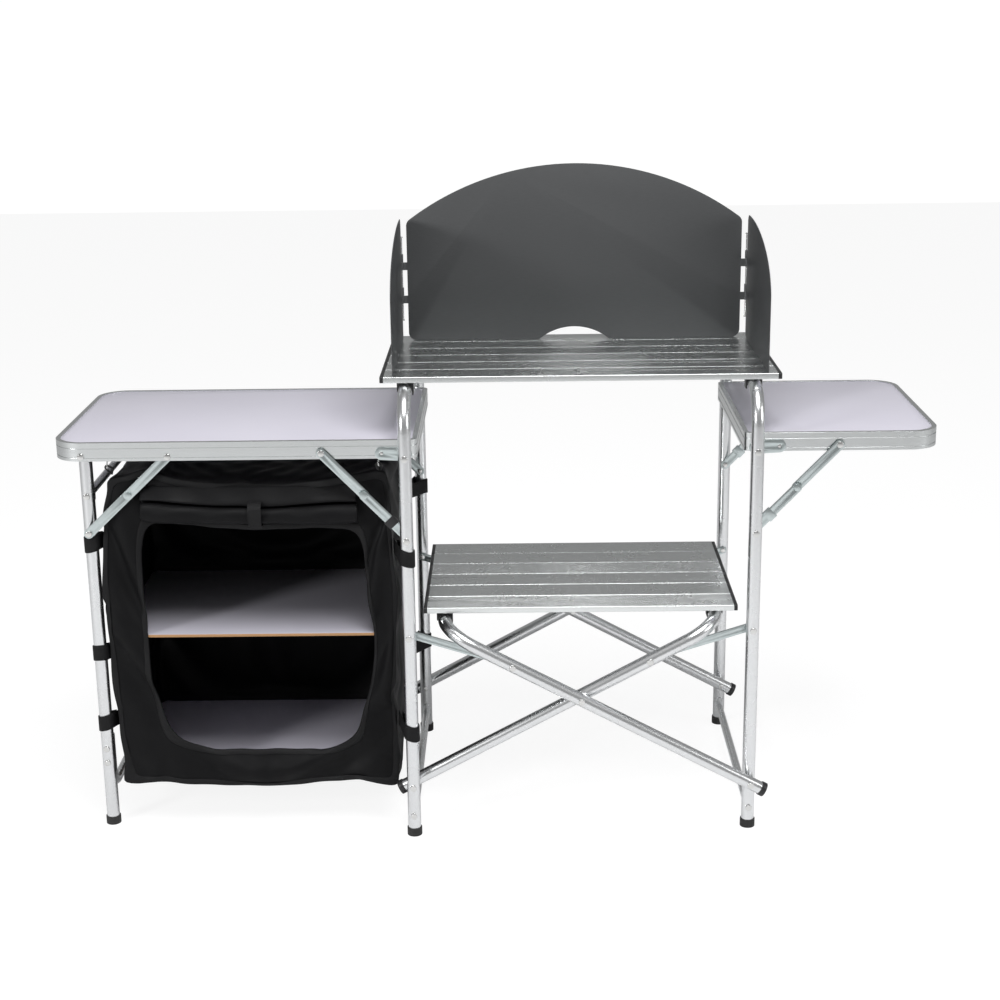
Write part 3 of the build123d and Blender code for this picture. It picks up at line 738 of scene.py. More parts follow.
# ---------------------------------------------------------------- hard pieces
@dataclass
class HardPart:
    """A rigid piece that takes the place of its plain CAD node, with eased edges."""

    node: str
    slot: str
    body: str
    ease: float = 0.0004
    segments: int = 2
    crease: float = 34.0

    def build(self, frame: dict, wardrobe: Wardrobe) -> bpy.types.Object:
        """Copy, merge, ease and dress the piece.

        Args:
            wardrobe: the finishes.

        Returns:
            The new piece.
        """
        source = frame["nodes"][self.node]
        obj = bpy.data.objects.new(f"{self.node}_finished", source.data.copy())
        bpy.context.scene.collection.objects.link(obj)
        obj.matrix_world = source.matrix_world
        settle(obj)
        self.merge(obj)
        if self.ease:
            bevel = obj.modifiers.new("eased edges", "BEVEL")
            bevel.width, bevel.segments = self.ease, self.segments
            bevel.limit_method, bevel.angle_limit = "ANGLE", math.radians(self.crease)
            bevel.use_clamp_overlap = True
            bevel.harden_normals = False
            apply_all(obj)
        shade(obj, Shading.BY_ANGLE, self.crease + 4)
        wardrobe.dress(obj, self.slot)
        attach(obj, self.body)
        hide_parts(self.node)
        return obj

    def merge(self, obj: bpy.types.Object) -> None:
        """Join the loose triangles and clear the flat faces' inner edges."""
        activate(obj)
        bpy.ops.object.mode_set(mode="EDIT")
        bpy.ops.mesh.select_all(action="SELECT")
        bpy.ops.mesh.remove_doubles(threshold=0.000004)
        bpy.ops.mesh.dissolve_limited(angle_limit=math.radians(0.6))
        bpy.ops.object.mode_set(mode="OBJECT")
        bpy.ops.mesh.customdata_custom_splitnormals_clear()


# -------------------------------------------------------------------- cupboard
@dataclass
class Cupboard:
    """Sewn cloth box with an open mouth, rolled door, binding, straps and hangers."""

    x: tuple[float, float] = (-0.661, -0.179)
    y: tuple[float, float] = (-0.188, 0.166)
    z: tuple[float, float] = (0.080, 0.640)
    mouth_x: tuple[float, float] = (-0.594, -0.233)
    mouth_z: tuple[float, float] = (0.150, 0.552)
    across: int = 42
    up: int = 48
    rings: int = 7
    deep: int = 30
    cloth: float = 0.0011
    spare: float = 0.018
    frames: int = 26
    cap: float = 0.016

    def edge_index(self) -> list[tuple[float, float]]:
        """Places round the front's outline, as -1..1 across and -1..1 up, once round."""
        low = [(-1 + 2 * i / self.across, -1.0) for i in range(self.across)]
        right = [(1.0, -1 + 2 * i / self.up) for i in range(self.up)]
        top = [(1 - 2 * i / self.across, 1.0) for i in range(self.across)]
        left = [(-1.0, 1 - 2 * i / self.up) for i in range(self.up)]
        return low + right + top + left

    def outer(self, u: float, v: float) -> tuple[float, float]:
        """Front outline at a place, with rounded corners.

        Args:
            u: across, -1 to 1.
            v: up, -1 to 1.

        Returns:
            X and Z.
        """
        power = 70.0
        shrink = (abs(u) ** power + abs(v) ** power) ** (1 / power)
        mid_x, mid_z = sum(self.x) / 2, sum(self.z) / 2
        return (mid_x + u / shrink * (self.x[1] - self.x[0]) / 2,
                mid_z + v / shrink * (self.z[1] - self.z[0]) / 2)

    def mouth(self, u: float, v: float) -> tuple[float, float]:
        """Mouth outline at a place, rounder at its lower left corner.

        Args:
            u: across, -1 to 1.
            v: up, -1 to 1.

        Returns:
            X and Z.
        """
        power = 12.0
        if v < 0:
            power = 5.0 if u < 0 else 6.5
        shrink = (abs(u) ** power + abs(v) ** power) ** (1 / power)
        u, v = u / shrink, v / shrink
        x = sum(self.mouth_x) / 2 + u * (self.mouth_x[1] - self.mouth_x[0]) / 2
        z = sum(self.mouth_z) / 2 + v * (self.mouth_z[1] - self.mouth_z[0]) / 2
        if u > 0:
            x += 0.012 * u * math.exp(-((z - 0.345) / 0.07) ** 2)
        if v > 0:
            z -= 0.007 * u * v
        return x, z

    def shell_mesh(self) -> bpy.types.Object:
        """Cloth of the box as one surface: front rings, sides and back.

        Returns:
            The shell before it hangs.
        """
        spots = self.edge_index()
        count = len(spots)
        points: list[Point] = []
        faces: list[list[int]] = []
        for ring in range(self.rings + 1):
            part = ring / self.rings
            for u, v in spots:
                inner, outer = self.mouth(u, v), self.outer(u, v)
                points.append((inner[0] + (outer[0] - inner[0]) * part, self.y[0],
                               inner[1] + (outer[1] - inner[1]) * part))
        for step in range(1, self.deep + 1):
            for u, v in spots:
                x, z = self.outer(u, v)
                points.append((x, self.y[0] + (self.y[1] - self.y[0]) * step / self.deep, z))
        rows = self.rings + 1 + self.deep
        for row in range(rows - 1):
            for i in range(count):
                j = (i + 1) % count
                faces.append([row * count + i, row * count + j,
                              (row + 1) * count + j, (row + 1) * count + i])
        self.close_back(points, faces, (rows - 1) * count)
        shell = from_faces("cupboard_shell_cloth", points, faces)
        outward(shell)
        return shell

    def close_back(self, points: list[Point], faces: list[list[int]], base: int) -> None:
        """Fill the back with a grid whose rim is the last ring.

        Args:
            points: vertex places, added to.
            faces: faces, added to.
            base: index of the last ring's first vertex.
        """
        across, up = self.across, self.up
        grid: dict[tuple[int, int], int] = {}
        for i in range(across + 1):
            grid[(i, 0)] = base + i if i < across else base + across
            grid[(i, up)] = base + 2 * across + up - i
        for k in range(1, up):
            grid[(across, k)] = base + across + k
            grid[(0, k)] = base + 2 * across + 2 * up - k
        for i in range(1, across):
            for k in range(1, up):
                grid[(i, k)] = len(points)
                low, high = points[grid[(i, 0)]], points[grid[(i, up)]]
                left, right = points[grid[(0, k)]], points[grid[(across, k)]]
                points.append((low[0] + (high[0] - low[0]) * k / up, self.y[1],
                               left[2] + (right[2] - left[2]) * i / across))
        for i in range(across):
            for k in range(up):
                faces.append([grid[(i, k)], grid[(i, k + 1)], grid[(i + 1, k + 1)], grid[(i + 1, k)]])

    def holds(self) -> list[tuple[Point, float]]:
        """Points that straps and hangers hold, each with its reach."""
        low, high = self.z
        held = [((x, y, high), 0.035) for x in self.x for y in self.y]
        for z in (0.516, 0.320, 0.191):
            held += [((self.x[0], self.y[0] + 0.022, z), 0.03), ((self.x[0], self.y[1] - 0.022, z), 0.03)]
        for z in (0.502, 0.190):
            held += [((self.x[1], self.y[0] + 0.013, z), 0.03), ((self.x[1], self.y[1] - 0.013, z), 0.03)]
        held += [((x, y, low + 0.004), 0.02) for x in self.x for y in self.y]
        return held

    def hang(self, shell: bpy.types.Object) -> None:
        """Let the cloth hang between what holds it, then cap how far it moved.

        Args:
            shell: the shell, changed in place.
        """
        start = places(shell)
        weights = self.pin_weights(start)
        group = shell.vertex_groups.new(name="held")
        for index, weight in enumerate(weights):
            group.add([index], float(weight), "REPLACE")
        self.simulate(shell, group.name)
        now = places(shell)
        move = now - start
        size = np.linalg.norm(move, axis=1, keepdims=True)
        move *= np.minimum(1.0, self.cap / np.maximum(size, 1e-9))
        set_places(shell, self.clear_boards(start, start + move + self.drape(start)))

    def clear_boards(self, start: np.ndarray, now: np.ndarray) -> np.ndarray:
        """Keep the cloth outside the two boards' edges, and no more than a little inside elsewhere.

        Args:
            start: vertex places before hanging.
            now: vertex places after it.

        Returns:
            Places clear of the boards.
        """
        heights = np.minimum(np.abs(now[:, 2] - 0.0838), np.abs(now[:, 2] - 0.3495))
        slack = np.clip((heights - 0.008) / 0.05, 0, 1) * 0.010 + 0.0004
        now[:, 0] = np.where(start[:, 0] < self.x[0] + 0.008,
                             np.minimum(now[:, 0], self.x[0] + slack), now[:, 0])
        now[:, 0] = np.where(start[:, 0] > self.x[1] - 0.008,
                             np.maximum(now[:, 0], self.x[1] - slack), now[:, 0])
        now[:, 1] = np.where(start[:, 1] < self.y[0] + 0.002,
                             np.minimum(now[:, 1], self.y[0] + slack), now[:, 1])
        now[:, 1] = np.where(start[:, 1] > self.y[1] - 0.002,
                             np.maximum(now[:, 1], self.y[1] - slack), now[:, 1])
        floor = start[:, 2] < self.z[0] + 0.008
        now[:, 2] = np.where(floor, np.minimum(now[:, 2], self.z[0] + 0.0004), now[:, 2])
        return now

    def pin_weights(self, start: np.ndarray) -> np.ndarray:
        """How firmly each point is held: boards and straps firmly, open cloth hardly at all.

        Args:
            start: vertex places.

        Returns:
            Weights from 0 to 1.
        """
        weights = np.full(len(start), 0.03)
        for point, reach in self.holds():
            near = np.linalg.norm(start - np.array(point), axis=1)
            weights = np.maximum(weights, np.clip(1.4 - near / reach, 0, 1))
        for board in (0.0835, 0.3495):
            at_wall = (start[:, 1] > self.y[0] + 0.03)
            near = np.abs(start[:, 2] - board)
            weights = np.maximum(weights, np.where(at_wall, np.clip(0.8 - near / 0.02, 0, 0.8), 0))
        rim = np.abs(start[:, 2] - self.z[1]) < 0.002
        weights = np.maximum(weights, np.where(rim, 0.25, 0))
        return weights

    def simulate(self, shell: bpy.types.Object, held: str) -> None:
        """Run the cloth and keep its result.

        Args:
            shell: the shell.
            held: its group of held points.
        """
        activate(shell)
        cloth = shell.modifiers.new("hanging cloth", "CLOTH")
        settings = cloth.settings
        settings.quality, settings.mass, settings.air_damping = 6, 0.25, 3.0
        settings.tension_stiffness, settings.compression_stiffness = 18.0, 18.0
        settings.shear_stiffness, settings.bending_stiffness = 8.0, 1.2
        settings.shrink_min = -self.spare
        settings.vertex_group_mass = held
        settings.pin_stiffness = 1.0
        cloth.collision_settings.use_collision = False
        cloth.collision_settings.use_self_collision = False
        cloth.point_cache.frame_start, cloth.point_cache.frame_end = 1, self.frames
        scene = bpy.context.scene
        scene.frame_start, scene.frame_end = 1, self.frames
        for number in range(1, self.frames + 1):
            scene.frame_set(number)
        bpy.ops.object.modifier_apply(modifier=cloth.name)
        scene.frame_set(1)

    def drape(self, start: np.ndarray) -> np.ndarray:
        """Slow sag: ears at the lower corners, waist between the straps, lifted top corner.

        Args:
            start: vertex places before hanging.

        Returns:
            Moves to add.
        """
        x, y, z = start[:, 0], start[:, 1], start[:, 2]
        u = (x - self.x[0]) / (self.x[1] - self.x[0])
        v = (z - self.z[0]) / (self.z[1] - self.z[0])
        front = np.clip(1 - (y - self.y[0]) / 0.20, 0, 1)
        move = np.zeros_like(start)
        left, right = np.clip(1 - u / 0.14, 0, 1), np.clip(1 - (1 - u) / 0.14, 0, 1)
        low, high = np.clip(1 - v / 0.16, 0, 1), np.clip((v - 0.80) / 0.2, 0, 1)
        bulge = np.sin(np.clip(v, 0, 1) * math.pi)
        move[:, 0] += (-0.010 * bulge + 0.017 * low + 0.016 * high) * left * front
        move[:, 0] += (0.004 * bulge - 0.004 * high) * right * front
        move[:, 2] += (-0.006 * left - 0.011 * right + 0.006 * (1 - left) * (1 - right)) * low * front
        move[:, 2] += (-0.010 * left + 0.012 * np.exp(-((u - 0.16) / 0.07) ** 2)
                       - 0.008 * np.exp(-((u - 0.6) / 0.25) ** 2)) * high
        folds = (np.sin(46 * u + 7 * v) * 0.0016 + np.sin(31 * v - 9 * u + 1.3) * 0.0018
                 + np.sin(17 * (u + v) + 0.7) * 0.0022)
        near_mouth = np.clip(front * 1.5 - 0.5, 0, 1)
        move[:, 1] += folds * near_mouth
        move[:, 1] -= 0.006 * low * near_mouth
        side = np.clip(np.minimum(u, 1 - u) * -60 + 1, 0, 1)
        move[:, 0] += np.sin(23 * v + 15 * (y - self.y[0])) * 0.0022 * side * np.where(u < 0.5, -1, 1)
        return move

    def binding(self, shell: bpy.types.Object, rows: int, first: int, name: str,
                lift: float) -> bpy.types.Object:
        """Tape sewn over a band of the front's rings.

        Args:
            shell: the hung shell, before its wall.
            rows: how many rings the tape covers.
            first: the ring that it starts at.
            name: the tape's name.
            lift: how far its middle stands off the cloth.

        Returns:
            The tape.
        """
        count = len(self.edge_index())
        points = places(shell)
        normals = np.empty(len(points) * 3)
        shell.data.vertices.foreach_get("normal", normals)
        normals = normals.reshape(-1, 3)
        band, faces = [], []
        for row in range(rows + 1):
            base = (first + row) * count
            band.append(points[base:base + count] + normals[base:base + count] * lift)
        stacked = np.concatenate(band)
        for row in range(rows):
            for i in range(count):
                j = (i + 1) % count
                faces.append([row * count + i, row * count + j,
                              (row + 1) * count + j, (row + 1) * count + i])
        tape = from_faces(name, stacked, faces)
        wall = tape.modifiers.new("thickness", "SOLIDIFY")
        wall.thickness, wall.offset = 0.0022, 0.0
        soft = tape.modifiers.new("softened", "SUBSURF")
        soft.levels = soft.render_levels = 1
        apply_all(tape)
        shade(tape, Shading.SMOOTH)
        return tape

    def build_shell(self, wardrobe: Wardrobe) -> list[bpy.types.Object]:
        """Hang the shell and give it its wall and bindings.

        Args:
            wardrobe: the finishes.

        Returns:
            Shell and bindings.
        """
        shell = self.shell_mesh()
        self.hang(shell)
        tapes = [self.binding(shell, 1, 0, "mouth_binding", 0.0004),
                 self.binding(shell, 1, self.rings - 1, "front_edge_piping", 0.0006)]
        soft = shell.modifiers.new("softened", "SUBSURF")
        soft.levels = soft.render_levels = 1
        wall = shell.modifiers.new("thickness", "SOLIDIFY")
        wall.thickness, wall.offset = self.cloth, -1.0
        apply_all(shell)
        shade(shell, Shading.SMOOTH)
        wardrobe.dress(shell, "cupboard_cloth")
        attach(shell, "frame")
        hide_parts("cupboard_shell")
        for tape in tapes:
            wardrobe.dress(tape, "strap_webbing")
            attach(tape, "frame")
        return [shell, *tapes]


@dataclass
class RolledDoor:
    """Door flap rolled up over the mouth, with its fold above and the tie round it."""

    x: tuple[float, float] = (-0.593, -0.233)
    y: float = -0.2085
    z: float = 0.578
    radius: float = 0.0185
    turns: float = 2.6
    steps: int = 46
    cloth: float = 0.0012
    seam: tuple[float, float] = (-0.1905, 0.618)

    def section(self, part: float) -> list[tuple[float, float]]:
        """Spiral from the middle outwards, then up to the seam, in Y and Z.

        Args:
            part: place along the roll, 0 to 1, which loosens its ends.

        Returns:
            Points of the spiral.
        """
        loose = 1.0 + 0.10 * math.cos(part * math.tau) + 0.05 * math.sin(part * 17)
        spots = []
        around = 54
        for i in range(around + 1):
            turn = self.turns * math.tau * i / around
            reach = (0.006 + (self.radius - 0.006) * i / around) * loose
            angle = turn - math.pi * 0.62
            spots.append((self.y + reach * math.cos(angle) * 0.92, self.z + reach * math.sin(angle)))
        last = spots[-1]
        for i in range(1, 7):
            share = i / 6
            spots.append((last[0] + (self.seam[0] - last[0]) * share ** 0.8,
                          last[1] + (self.seam[1] - last[1]) * share))
        return spots

    def build(self, wardrobe: Wardrobe) -> list[bpy.types.Object]:
        """Roll the flap and tie it.

        Args:
            wardrobe: the finishes.

        Returns:
            Flap and tie.
        """
        points: list[Point] = []
        faces: list[list[int]] = []
        width = 0
        for step in range(self.steps + 1):
            part = step / self.steps
            x = self.x[0] + (self.x[1] - self.x[0]) * part
            squeeze = 1 - 0.10 * math.exp(-((part - 0.53) / 0.05) ** 2)
            sag = -0.006 * math.sin(part * math.pi) - 0.005 * part
            line = self.section(part)
            width = len(line)
            for k, (y, z) in enumerate(line):
                ripple = 0.0012 * math.sin(part * 29 + k * 0.35) * min(1, k / 10)
                points.append((x + 0.0015 * math.sin(k * 0.2),
                               self.y + (y - self.y) * squeeze + ripple,
                               self.z + (z - self.z) * (squeeze if k < 55 else 1)
                               + sag * (1 if k < 55 else 0.4)))
        for step in range(self.steps):
            for k in range(width - 1):
                a = step * width + k
                faces.append([a, a + width, a + width + 1, a + 1])
        flap = from_faces("cupboard_door_rolled", points, faces)
        wall = flap.modifiers.new("thickness", "SOLIDIFY")
        wall.thickness, wall.offset = self.cloth, 0.0
        soft = flap.modifiers.new("softened", "SUBSURF")
        soft.levels = soft.render_levels = 1
        apply_all(flap)
        shade(flap, Shading.SMOOTH)
        wardrobe.dress(flap, "cupboard_cloth")
        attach(flap, "frame")
        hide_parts("cupboard_door_roll")
        return [flap, self.tie(wardrobe)]

    def tie(self, wardrobe: Wardrobe) -> bpy.types.Object:
        """Webbing tie round the roll, with its tail hanging in front."""
        middle = self.x[0] + (self.x[1] - self.x[0]) * 0.53
        deselect()
        bpy.ops.mesh.primitive_cylinder_add(vertices=40, radius=self.radius + 0.0016, depth=0.022,
                                            end_fill_type="NOTHING", rotation=(0, math.pi / 2, 0),
                                            location=(middle, self.y, self.z - 0.006))
        band = settle(take("cupboard_door_band"))
        wall = band.modifiers.new("thickness", "SOLIDIFY")
        wall.thickness, wall.offset = 0.0014, 1.0
        apply_all(band)
        deselect()
        front = self.y - self.radius - 0.004
        bpy.ops.mesh.primitive_cube_add(size=1, location=(middle + 0.002, front, self.z - 0.010))
        tail = take("tail")
        tail.scale = (0.020, 0.0014, 0.034)
        settle(tail)
        activate(tail)
        bpy.ops.object.mode_set(mode="EDIT")
        bpy.ops.mesh.select_all(action="SELECT")
        bpy.ops.mesh.subdivide(number_cuts=5)
        bpy.ops.object.mode_set(mode="OBJECT")
        bent = places(tail)
        bent[:, 1] += 0.006 * ((self.z - 0.006 - bent[:, 2]) / 0.024) ** 2
        set_places(tail, bent)
        obj = join([band, tail], "cupboard_door_tie_webbing")
        shade(obj, Shading.BY_ANGLE, 40)
        wardrobe.dress(obj, "strap_webbing")
        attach(obj, "frame")
        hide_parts("cupboard_door_tie")
        return obj


@dataclass
class LegStraps:
    """Hook-and-loop straps that hold the cupboard to the legs."""

    end_x: float = -0.685
    main_x: float = -0.150
    end_y: tuple[float, float] = (-0.18225, 0.15975)
    main_y: tuple[float, float] = (-0.2375, 0.215)
    tube: float = 0.0113
    height: float = 0.027
    thick: float = 0.0014

    def outline(self, leg: tuple[float, float], anchor: tuple[float, float],
                swing: int) -> list[tuple[float, float]]:
        """Line of one strap seen from above: tail, round the leg, and back over itself.

        Args:
            leg: X and Y of the leg's middle.
            anchor: X and Y where the strap is sewn to the box.
            swing: 1 or -1, the way it goes round.

        Returns:
            Points along the strap.
        """
        reach = self.tube + self.thick / 2 + 0.0004
        dx, dy = anchor[0] - leg[0], anchor[1] - leg[1]
        away = math.hypot(dx, dy)
        lean = math.acos(min(1.0, reach / away))
        heading = math.atan2(dy, dx)
        start, end = heading + swing * lean, heading - swing * lean + swing * math.tau
        spots = [(anchor[0] + (leg[0] + reach * math.cos(start) - anchor[0]) * s / 5,
                  anchor[1] + (leg[1] + reach * math.sin(start) - anchor[1]) * s / 5) for s in range(5)]
        count = 26
        for i in range(count + 1):
            angle = start + (end - start) * i / count
            spots.append((leg[0] + reach * math.cos(angle), leg[1] + reach * math.sin(angle)))
        last = spots[-1]
        side = (-dy / away * swing * self.thick * 1.3, dx / away * swing * self.thick * 1.3)
        for i in range(1, 6):
            share = i / 5 * 0.86
            spots.append((last[0] + (anchor[0] - side[0] - last[0]) * share,
                          last[1] + (anchor[1] - side[1] - last[1]) * share))
        return spots

    def strap(self, name: str, leg: tuple[float, float], anchor: tuple[float, float],
              low: float, swing: int) -> bpy.types.Object:
        """One strap as a webbing band.

        Args:
            name: its name.
            leg: X and Y of the leg's middle.
            anchor: X and Y where it is sewn on.
            low: height of its lower edge.
            swing: the way it goes round.

        Returns:
            The strap.
        """
        line = self.outline(leg, anchor, swing)
        rows = 5
        points: list[Point] = []
        faces: list[list[int]] = []
        for row in range(rows):
            for i, (x, y) in enumerate(line):
                slope = 0.0025 * math.sin(i / len(line) * math.tau + low * 40)
                points.append((x, y, low + self.height * row / (rows - 1) + slope))
        width = len(line)
        for row in range(rows - 1):
            for i in range(width - 1):
                a = row * width + i
                faces.append([a, a + 1, a + width + 1, a + width])
        band = from_faces(name, points, faces)
        wall = band.modifiers.new("thickness", "SOLIDIFY")
        wall.thickness, wall.offset = self.thick, 0.0
        edge = band.modifiers.new("soft edges", "BEVEL")
        edge.width, edge.segments, edge.limit_method = 0.0004, 1, "ANGLE"
        apply_all(band)
        shade(band, Shading.BY_ANGLE, 50)
        return band

    def build(self, box: Cupboard, wardrobe: Wardrobe) -> bpy.types.Object:
        """Make all ten straps.

        Args:
            box: the cupboard they hold.
            wardrobe: the finishes.

        Returns:
            The straps as one piece.
        """
        bands = []
        for side, y in zip((-1, 1), self.end_y):
            for low in (0.503, 0.306, 0.178):
                bands.append(self.strap(f"end_strap_{side}_{low}", (self.end_x, y),
                                        (box.x[0] - 0.004, y - side * 0.016), low, side))
        for side, y in zip((-1, 1), self.main_y):
            anchor_y = box.y[0] + 0.013 if side < 0 else box.y[1] - 0.013
            for low in (0.489, 0.177):
                bands.append(self.strap(f"main_strap_{side}_{low}", (self.main_x, y),
                                        (box.x[1] + 0.003, anchor_y), low, -side))
        straps = join(bands, "cupboard_strap_webbing")
        wardrobe.dress(straps, "strap_webbing")
        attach(straps, "frame")
        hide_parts("cupboard_straps")
        return straps


@dataclass
class CornerHangers:
    """Elastic cords and wire hooks from the box's top corners to the table edge."""

    y_hook: tuple[float, float] = (-0.20825, 0.18575)
    lip: float = 0.666
    cord: float = 0.0018
    wire: float = 0.0012

    def hanger(self, name: str, x: float, y: float, top: float, hook_y: float) -> tuple[
            bpy.types.Object, bpy.types.Object]:
        """One cord with its hook.

        Args:
            name: base of the names.
            x: across.
            y: the box corner's place.
            top: height of the box corner.
            hook_y: the lip's place.

        Returns:
            Cord and hook.
        """
        eye = (x, hook_y, self.lip - 0.011)
        loop = [(x, y, top - 0.004), (x + 0.004, (y + hook_y) / 2 + 0.002, (top + eye[2]) / 2),
                (x + 0.003, eye[1], eye[2] + 0.001), (x, eye[1] - 0.002, eye[2] + 0.003),
                (x - 0.003, eye[1], eye[2] + 0.001),
                (x - 0.004, (y + hook_y) / 2 - 0.002, (top + eye[2]) / 2),
                (x - 0.001, y + 0.002, top - 0.004)]
        cord = tube_along(f"{name}_cord", loop, self.cord, 8)
        inward = 1 if hook_y < 0 else -1
        bend = [(x, eye[1], eye[2] - 0.003), (x, eye[1] - 0.003, eye[2]), (x, eye[1] - 0.002, eye[2] + 0.004),
                (x, eye[1] + inward * 0.002, self.lip - 0.001),
                (x, eye[1] + inward * 0.006, self.lip + 0.003),
                (x, eye[1] + inward * 0.0095, self.lip + 0.001),
                (x, eye[1] + inward * 0.010, self.lip - 0.004)]
        hook = tube_along(f"{name}_hook", bend, self.wire, 8)
        return cord, hook

    def build(self, box: Cupboard, wardrobe: Wardrobe) -> list[bpy.types.Object]:
        """Make the four hangers.

        Args:
            box: the cupboard they carry.
            wardrobe: the finishes.

        Returns:
            Cords as one piece and hooks as another.
        """
        cords, hooks = [], []
        for x in (box.x[0] + 0.018, box.x[1] - 0.016):
            for y, hook_y in zip((box.y[0] + 0.008, box.y[1] - 0.008), self.y_hook):
                cord, hook = self.hanger(f"hanger_{x:.2f}_{y:.2f}", x, y, box.z[1], hook_y)
                cords.append(cord)
                hooks.append(hook)
        cord_piece, hook_piece = join(cords, "cupboard_hanger_cords"), join(hooks, "cupboard_hanger_hooks")
        for piece, slot in ((cord_piece, "shock_cord"), (hook_piece, "fastener")):
            wardrobe.dress(piece, slot)
            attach(piece, "frame")
        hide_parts("cupboard_hangers")
        return [cord_piece, hook_piece]


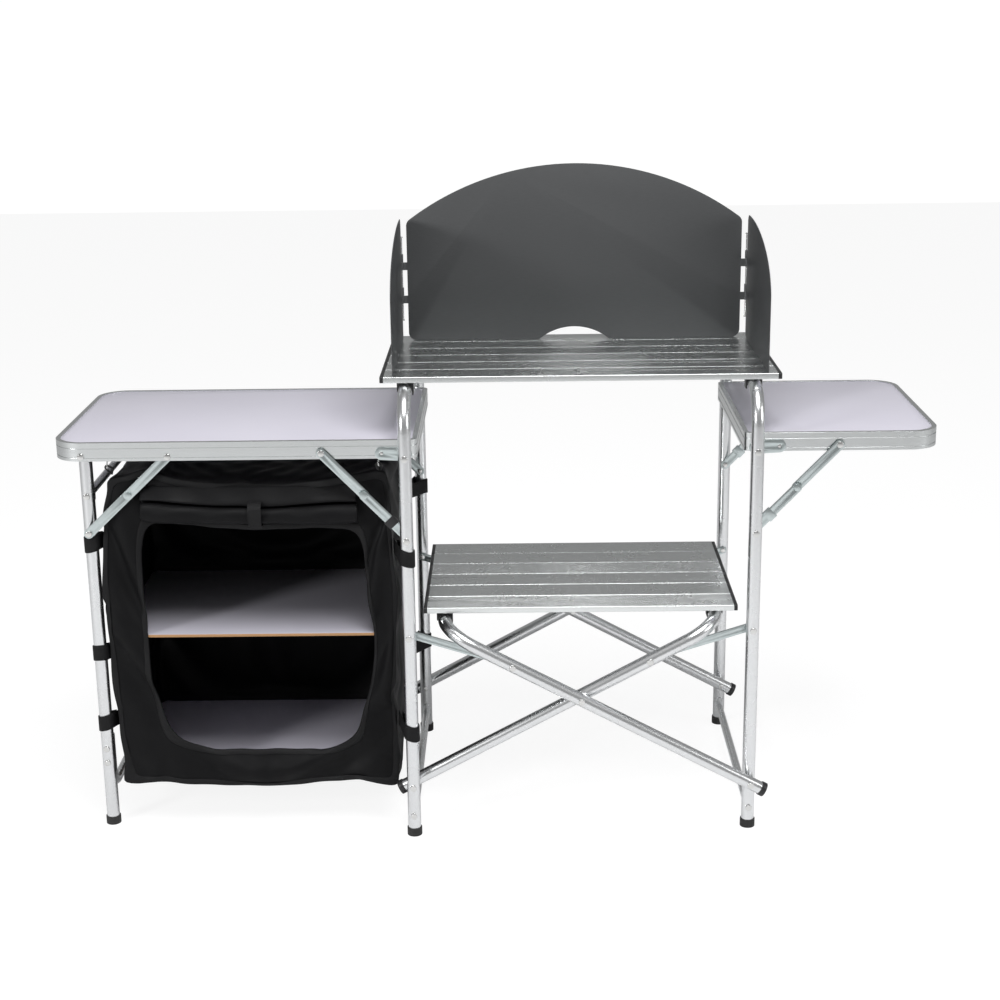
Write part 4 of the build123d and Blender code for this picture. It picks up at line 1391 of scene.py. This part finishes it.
# ---------------------------------------------------------------------- studio
@dataclass
class Studio:
    """White room with soft light and the camera."""

    eye: Point = (0.0337, -3.0382, 1.4019)
    yaw: float = -0.01031
    pitch: float = 0.2806
    roll: float = -0.0131
    lens: float = 63.93
    shift_y: float = 0.0031
    floor_half: float = 9.0
    floor_glow: float = 1.12
    floor_share: float = 0.78
    room_light: float = 0.32

    def camera(self) -> bpy.types.Object:
        """Camera at the viewing angle.

        Returns:
            The camera, set as the scene's own.
        """
        ahead = Vector((math.sin(self.yaw) * math.cos(self.pitch), math.cos(self.yaw) * math.cos(self.pitch),
                        -math.sin(self.pitch)))
        level = Vector((math.cos(self.yaw), -math.sin(self.yaw), 0))
        rise = level.cross(ahead)
        right = level * math.cos(self.roll) + rise * math.sin(self.roll)
        up = rise * math.cos(self.roll) - level * math.sin(self.roll)
        data = bpy.data.cameras.new("camera")
        data.lens, data.sensor_width, data.shift_y = self.lens, 36.0, self.shift_y
        data.clip_start, data.clip_end = 0.1, 60.0
        camera = bpy.data.objects.new("camera", data)
        turn = Matrix((right, up, -ahead)).transposed().to_4x4()
        camera.matrix_world = Matrix.Translation(self.eye) @ turn
        bpy.context.scene.collection.objects.link(camera)
        bpy.context.scene.camera = camera
        return camera

    def floor(self) -> bpy.types.Object:
        """Plain pale floor.

        Returns:
            The floor.
        """
        deselect()
        bpy.ops.mesh.primitive_plane_add(size=2 * self.floor_half, location=(0, 0, -0.0005))
        floor = settle(take("studio_floor"))
        material = bpy.data.materials.new("studio white")
        material.use_nodes = True
        desk = NodeDesk(material.node_tree)
        shader = material.node_tree.nodes["Principled BSDF"]
        shader.inputs["Base Color"].default_value = (0.90, 0.90, 0.905, 1)
        shader.inputs["Roughness"].default_value = 0.85
        shader.inputs["Specular IOR Level"].default_value = 0.0
        glow = desk.add("ShaderNodeEmission")
        glow.inputs["Strength"].default_value = self.floor_glow
        mix = desk.add("ShaderNodeMixShader")
        seen = desk.add("ShaderNodeLightPath")
        desk.wire(desk.math("MULTIPLY", seen.outputs["Is Camera Ray"], self.floor_share), mix.inputs[0])
        desk.wire(shader.outputs[0], mix.inputs[1])
        desk.wire(glow.outputs[0], mix.inputs[2])
        desk.wire(mix.outputs[0], material.node_tree.nodes["Material Output"].inputs["Surface"])
        floor.data.materials.append(material)
        return floor

    def lamp(self, name: str, place: Point, aim: Point, size: float, power: float) -> bpy.types.Object:
        """Soft square lamp.

        Args:
            name: its name.
            place: where it stands.
            aim: the point it faces.
            size: side of its square.
            power: watts.

        Returns:
            The lamp.
        """
        data = bpy.data.lights.new(name, "AREA")
        data.energy, data.size = power, size
        lamp = bpy.data.objects.new(name, data)
        way = Vector(aim) - Vector(place)
        lamp.matrix_world = Matrix.Translation(place) @ way.to_track_quat("-Z", "Y").to_matrix().to_4x4()
        bpy.context.scene.collection.objects.link(lamp)
        return lamp

    def build(self) -> None:
        """Set camera, floor, lamps and the white surroundings."""
        self.camera()
        self.floor()
        self.lamp("left key", (-3.0, -2.7, 1.75), (-0.1, 0, 0.5), 0.7, 56.0)
        self.lamp("high front", (0.3, -1.3, 3.3), (0, 0, 0.5), 1.8, 84.0)
        self.lamp("right fill", (3.2, -1.4, 1.6), (0, 0, 0.6), 1.4, 26.0)
        world = bpy.data.worlds.new("white room")
        bpy.context.scene.world = world
        world.use_nodes = True
        desk = NodeDesk(world.node_tree)
        back = world.node_tree.nodes["Background"]
        back.inputs["Color"].default_value = (1, 1, 1, 1)
        seen = desk.add("ShaderNodeLightPath")
        desk.wire(desk.spread(seen.outputs["Is Camera Ray"], self.room_light, 1.02), back.inputs["Strength"])
        bpy.context.scene.view_settings.view_transform = "Standard"


# -------------------------------------------------------------------- assembly
@dataclass
class CampKitchen:
    """The whole object: every hard piece, then the cupboard's sewn pieces."""

    frame: dict
    wardrobe: Wardrobe
    soft_nodes: tuple[str, ...] = ("cupboard_shell", "cupboard_door_roll", "cupboard_door_tie",
                                   "cupboard_straps", "cupboard_hangers")

    def slots(self) -> dict[str, str]:
        """Material slot of each node, from the record."""
        return {part["node"]: part["material_slot"] for part in self.frame["record"]["subparts"]}

    def body_names(self) -> dict[str, str]:
        """Body of each node, from the record."""
        bodies = self.frame["record"]["behaviour"]["bodies"]
        return {node: body for body, nodes in bodies.items() for node in nodes}

    def ease_of(self, node: str, slot: str) -> tuple[float, int]:
        """Edge easing of a node: domed heads on fasteners, none on tubes, small edges elsewhere.

        Args:
            node: the node's name, not used.
            slot: its material slot.

        Returns:
            Width in metres and number of segments.
        """
        if slot == "fastener":
            return 0.0014, 3
        if slot == "foot_rubber":
            return 0.0012, 3
        if slot == "frame_tube":
            return 0.0, 1
        if slot in ("slat_aluminium", "edge_aluminium"):
            return 0.0003, 1
        return 0.0004, 2

    def build(self) -> None:
        """Build every piece and log it."""
        bodies = self.body_names()
        for node, slot in self.slots().items():
            if node in self.soft_nodes:
                continue
            ease, segments = self.ease_of(node, slot)
            piece = HardPart(node, slot, bodies[node], ease, segments).build(self.frame, self.wardrobe)
            LOG.info("%s: %d faces", piece.name, len(piece.data.polygons))
        box = Cupboard()
        made = box.build_shell(self.wardrobe)
        made += RolledDoor().build(self.wardrobe)
        made.append(LegStraps().build(box, self.wardrobe))
        made += CornerHangers().build(box, self.wardrobe)
        for piece in made:
            LOG.info("%s: %d faces", piece.name, len(piece.data.polygons))


def main() -> None:
    """Load the frame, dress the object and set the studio."""
    logging.basicConfig(level=logging.INFO, format="%(name)s %(message)s")
    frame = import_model()
    CampKitchen(frame, Wardrobe(EffectGroups())).build()
    Studio().build()


if __name__ == "__main__":
    main()
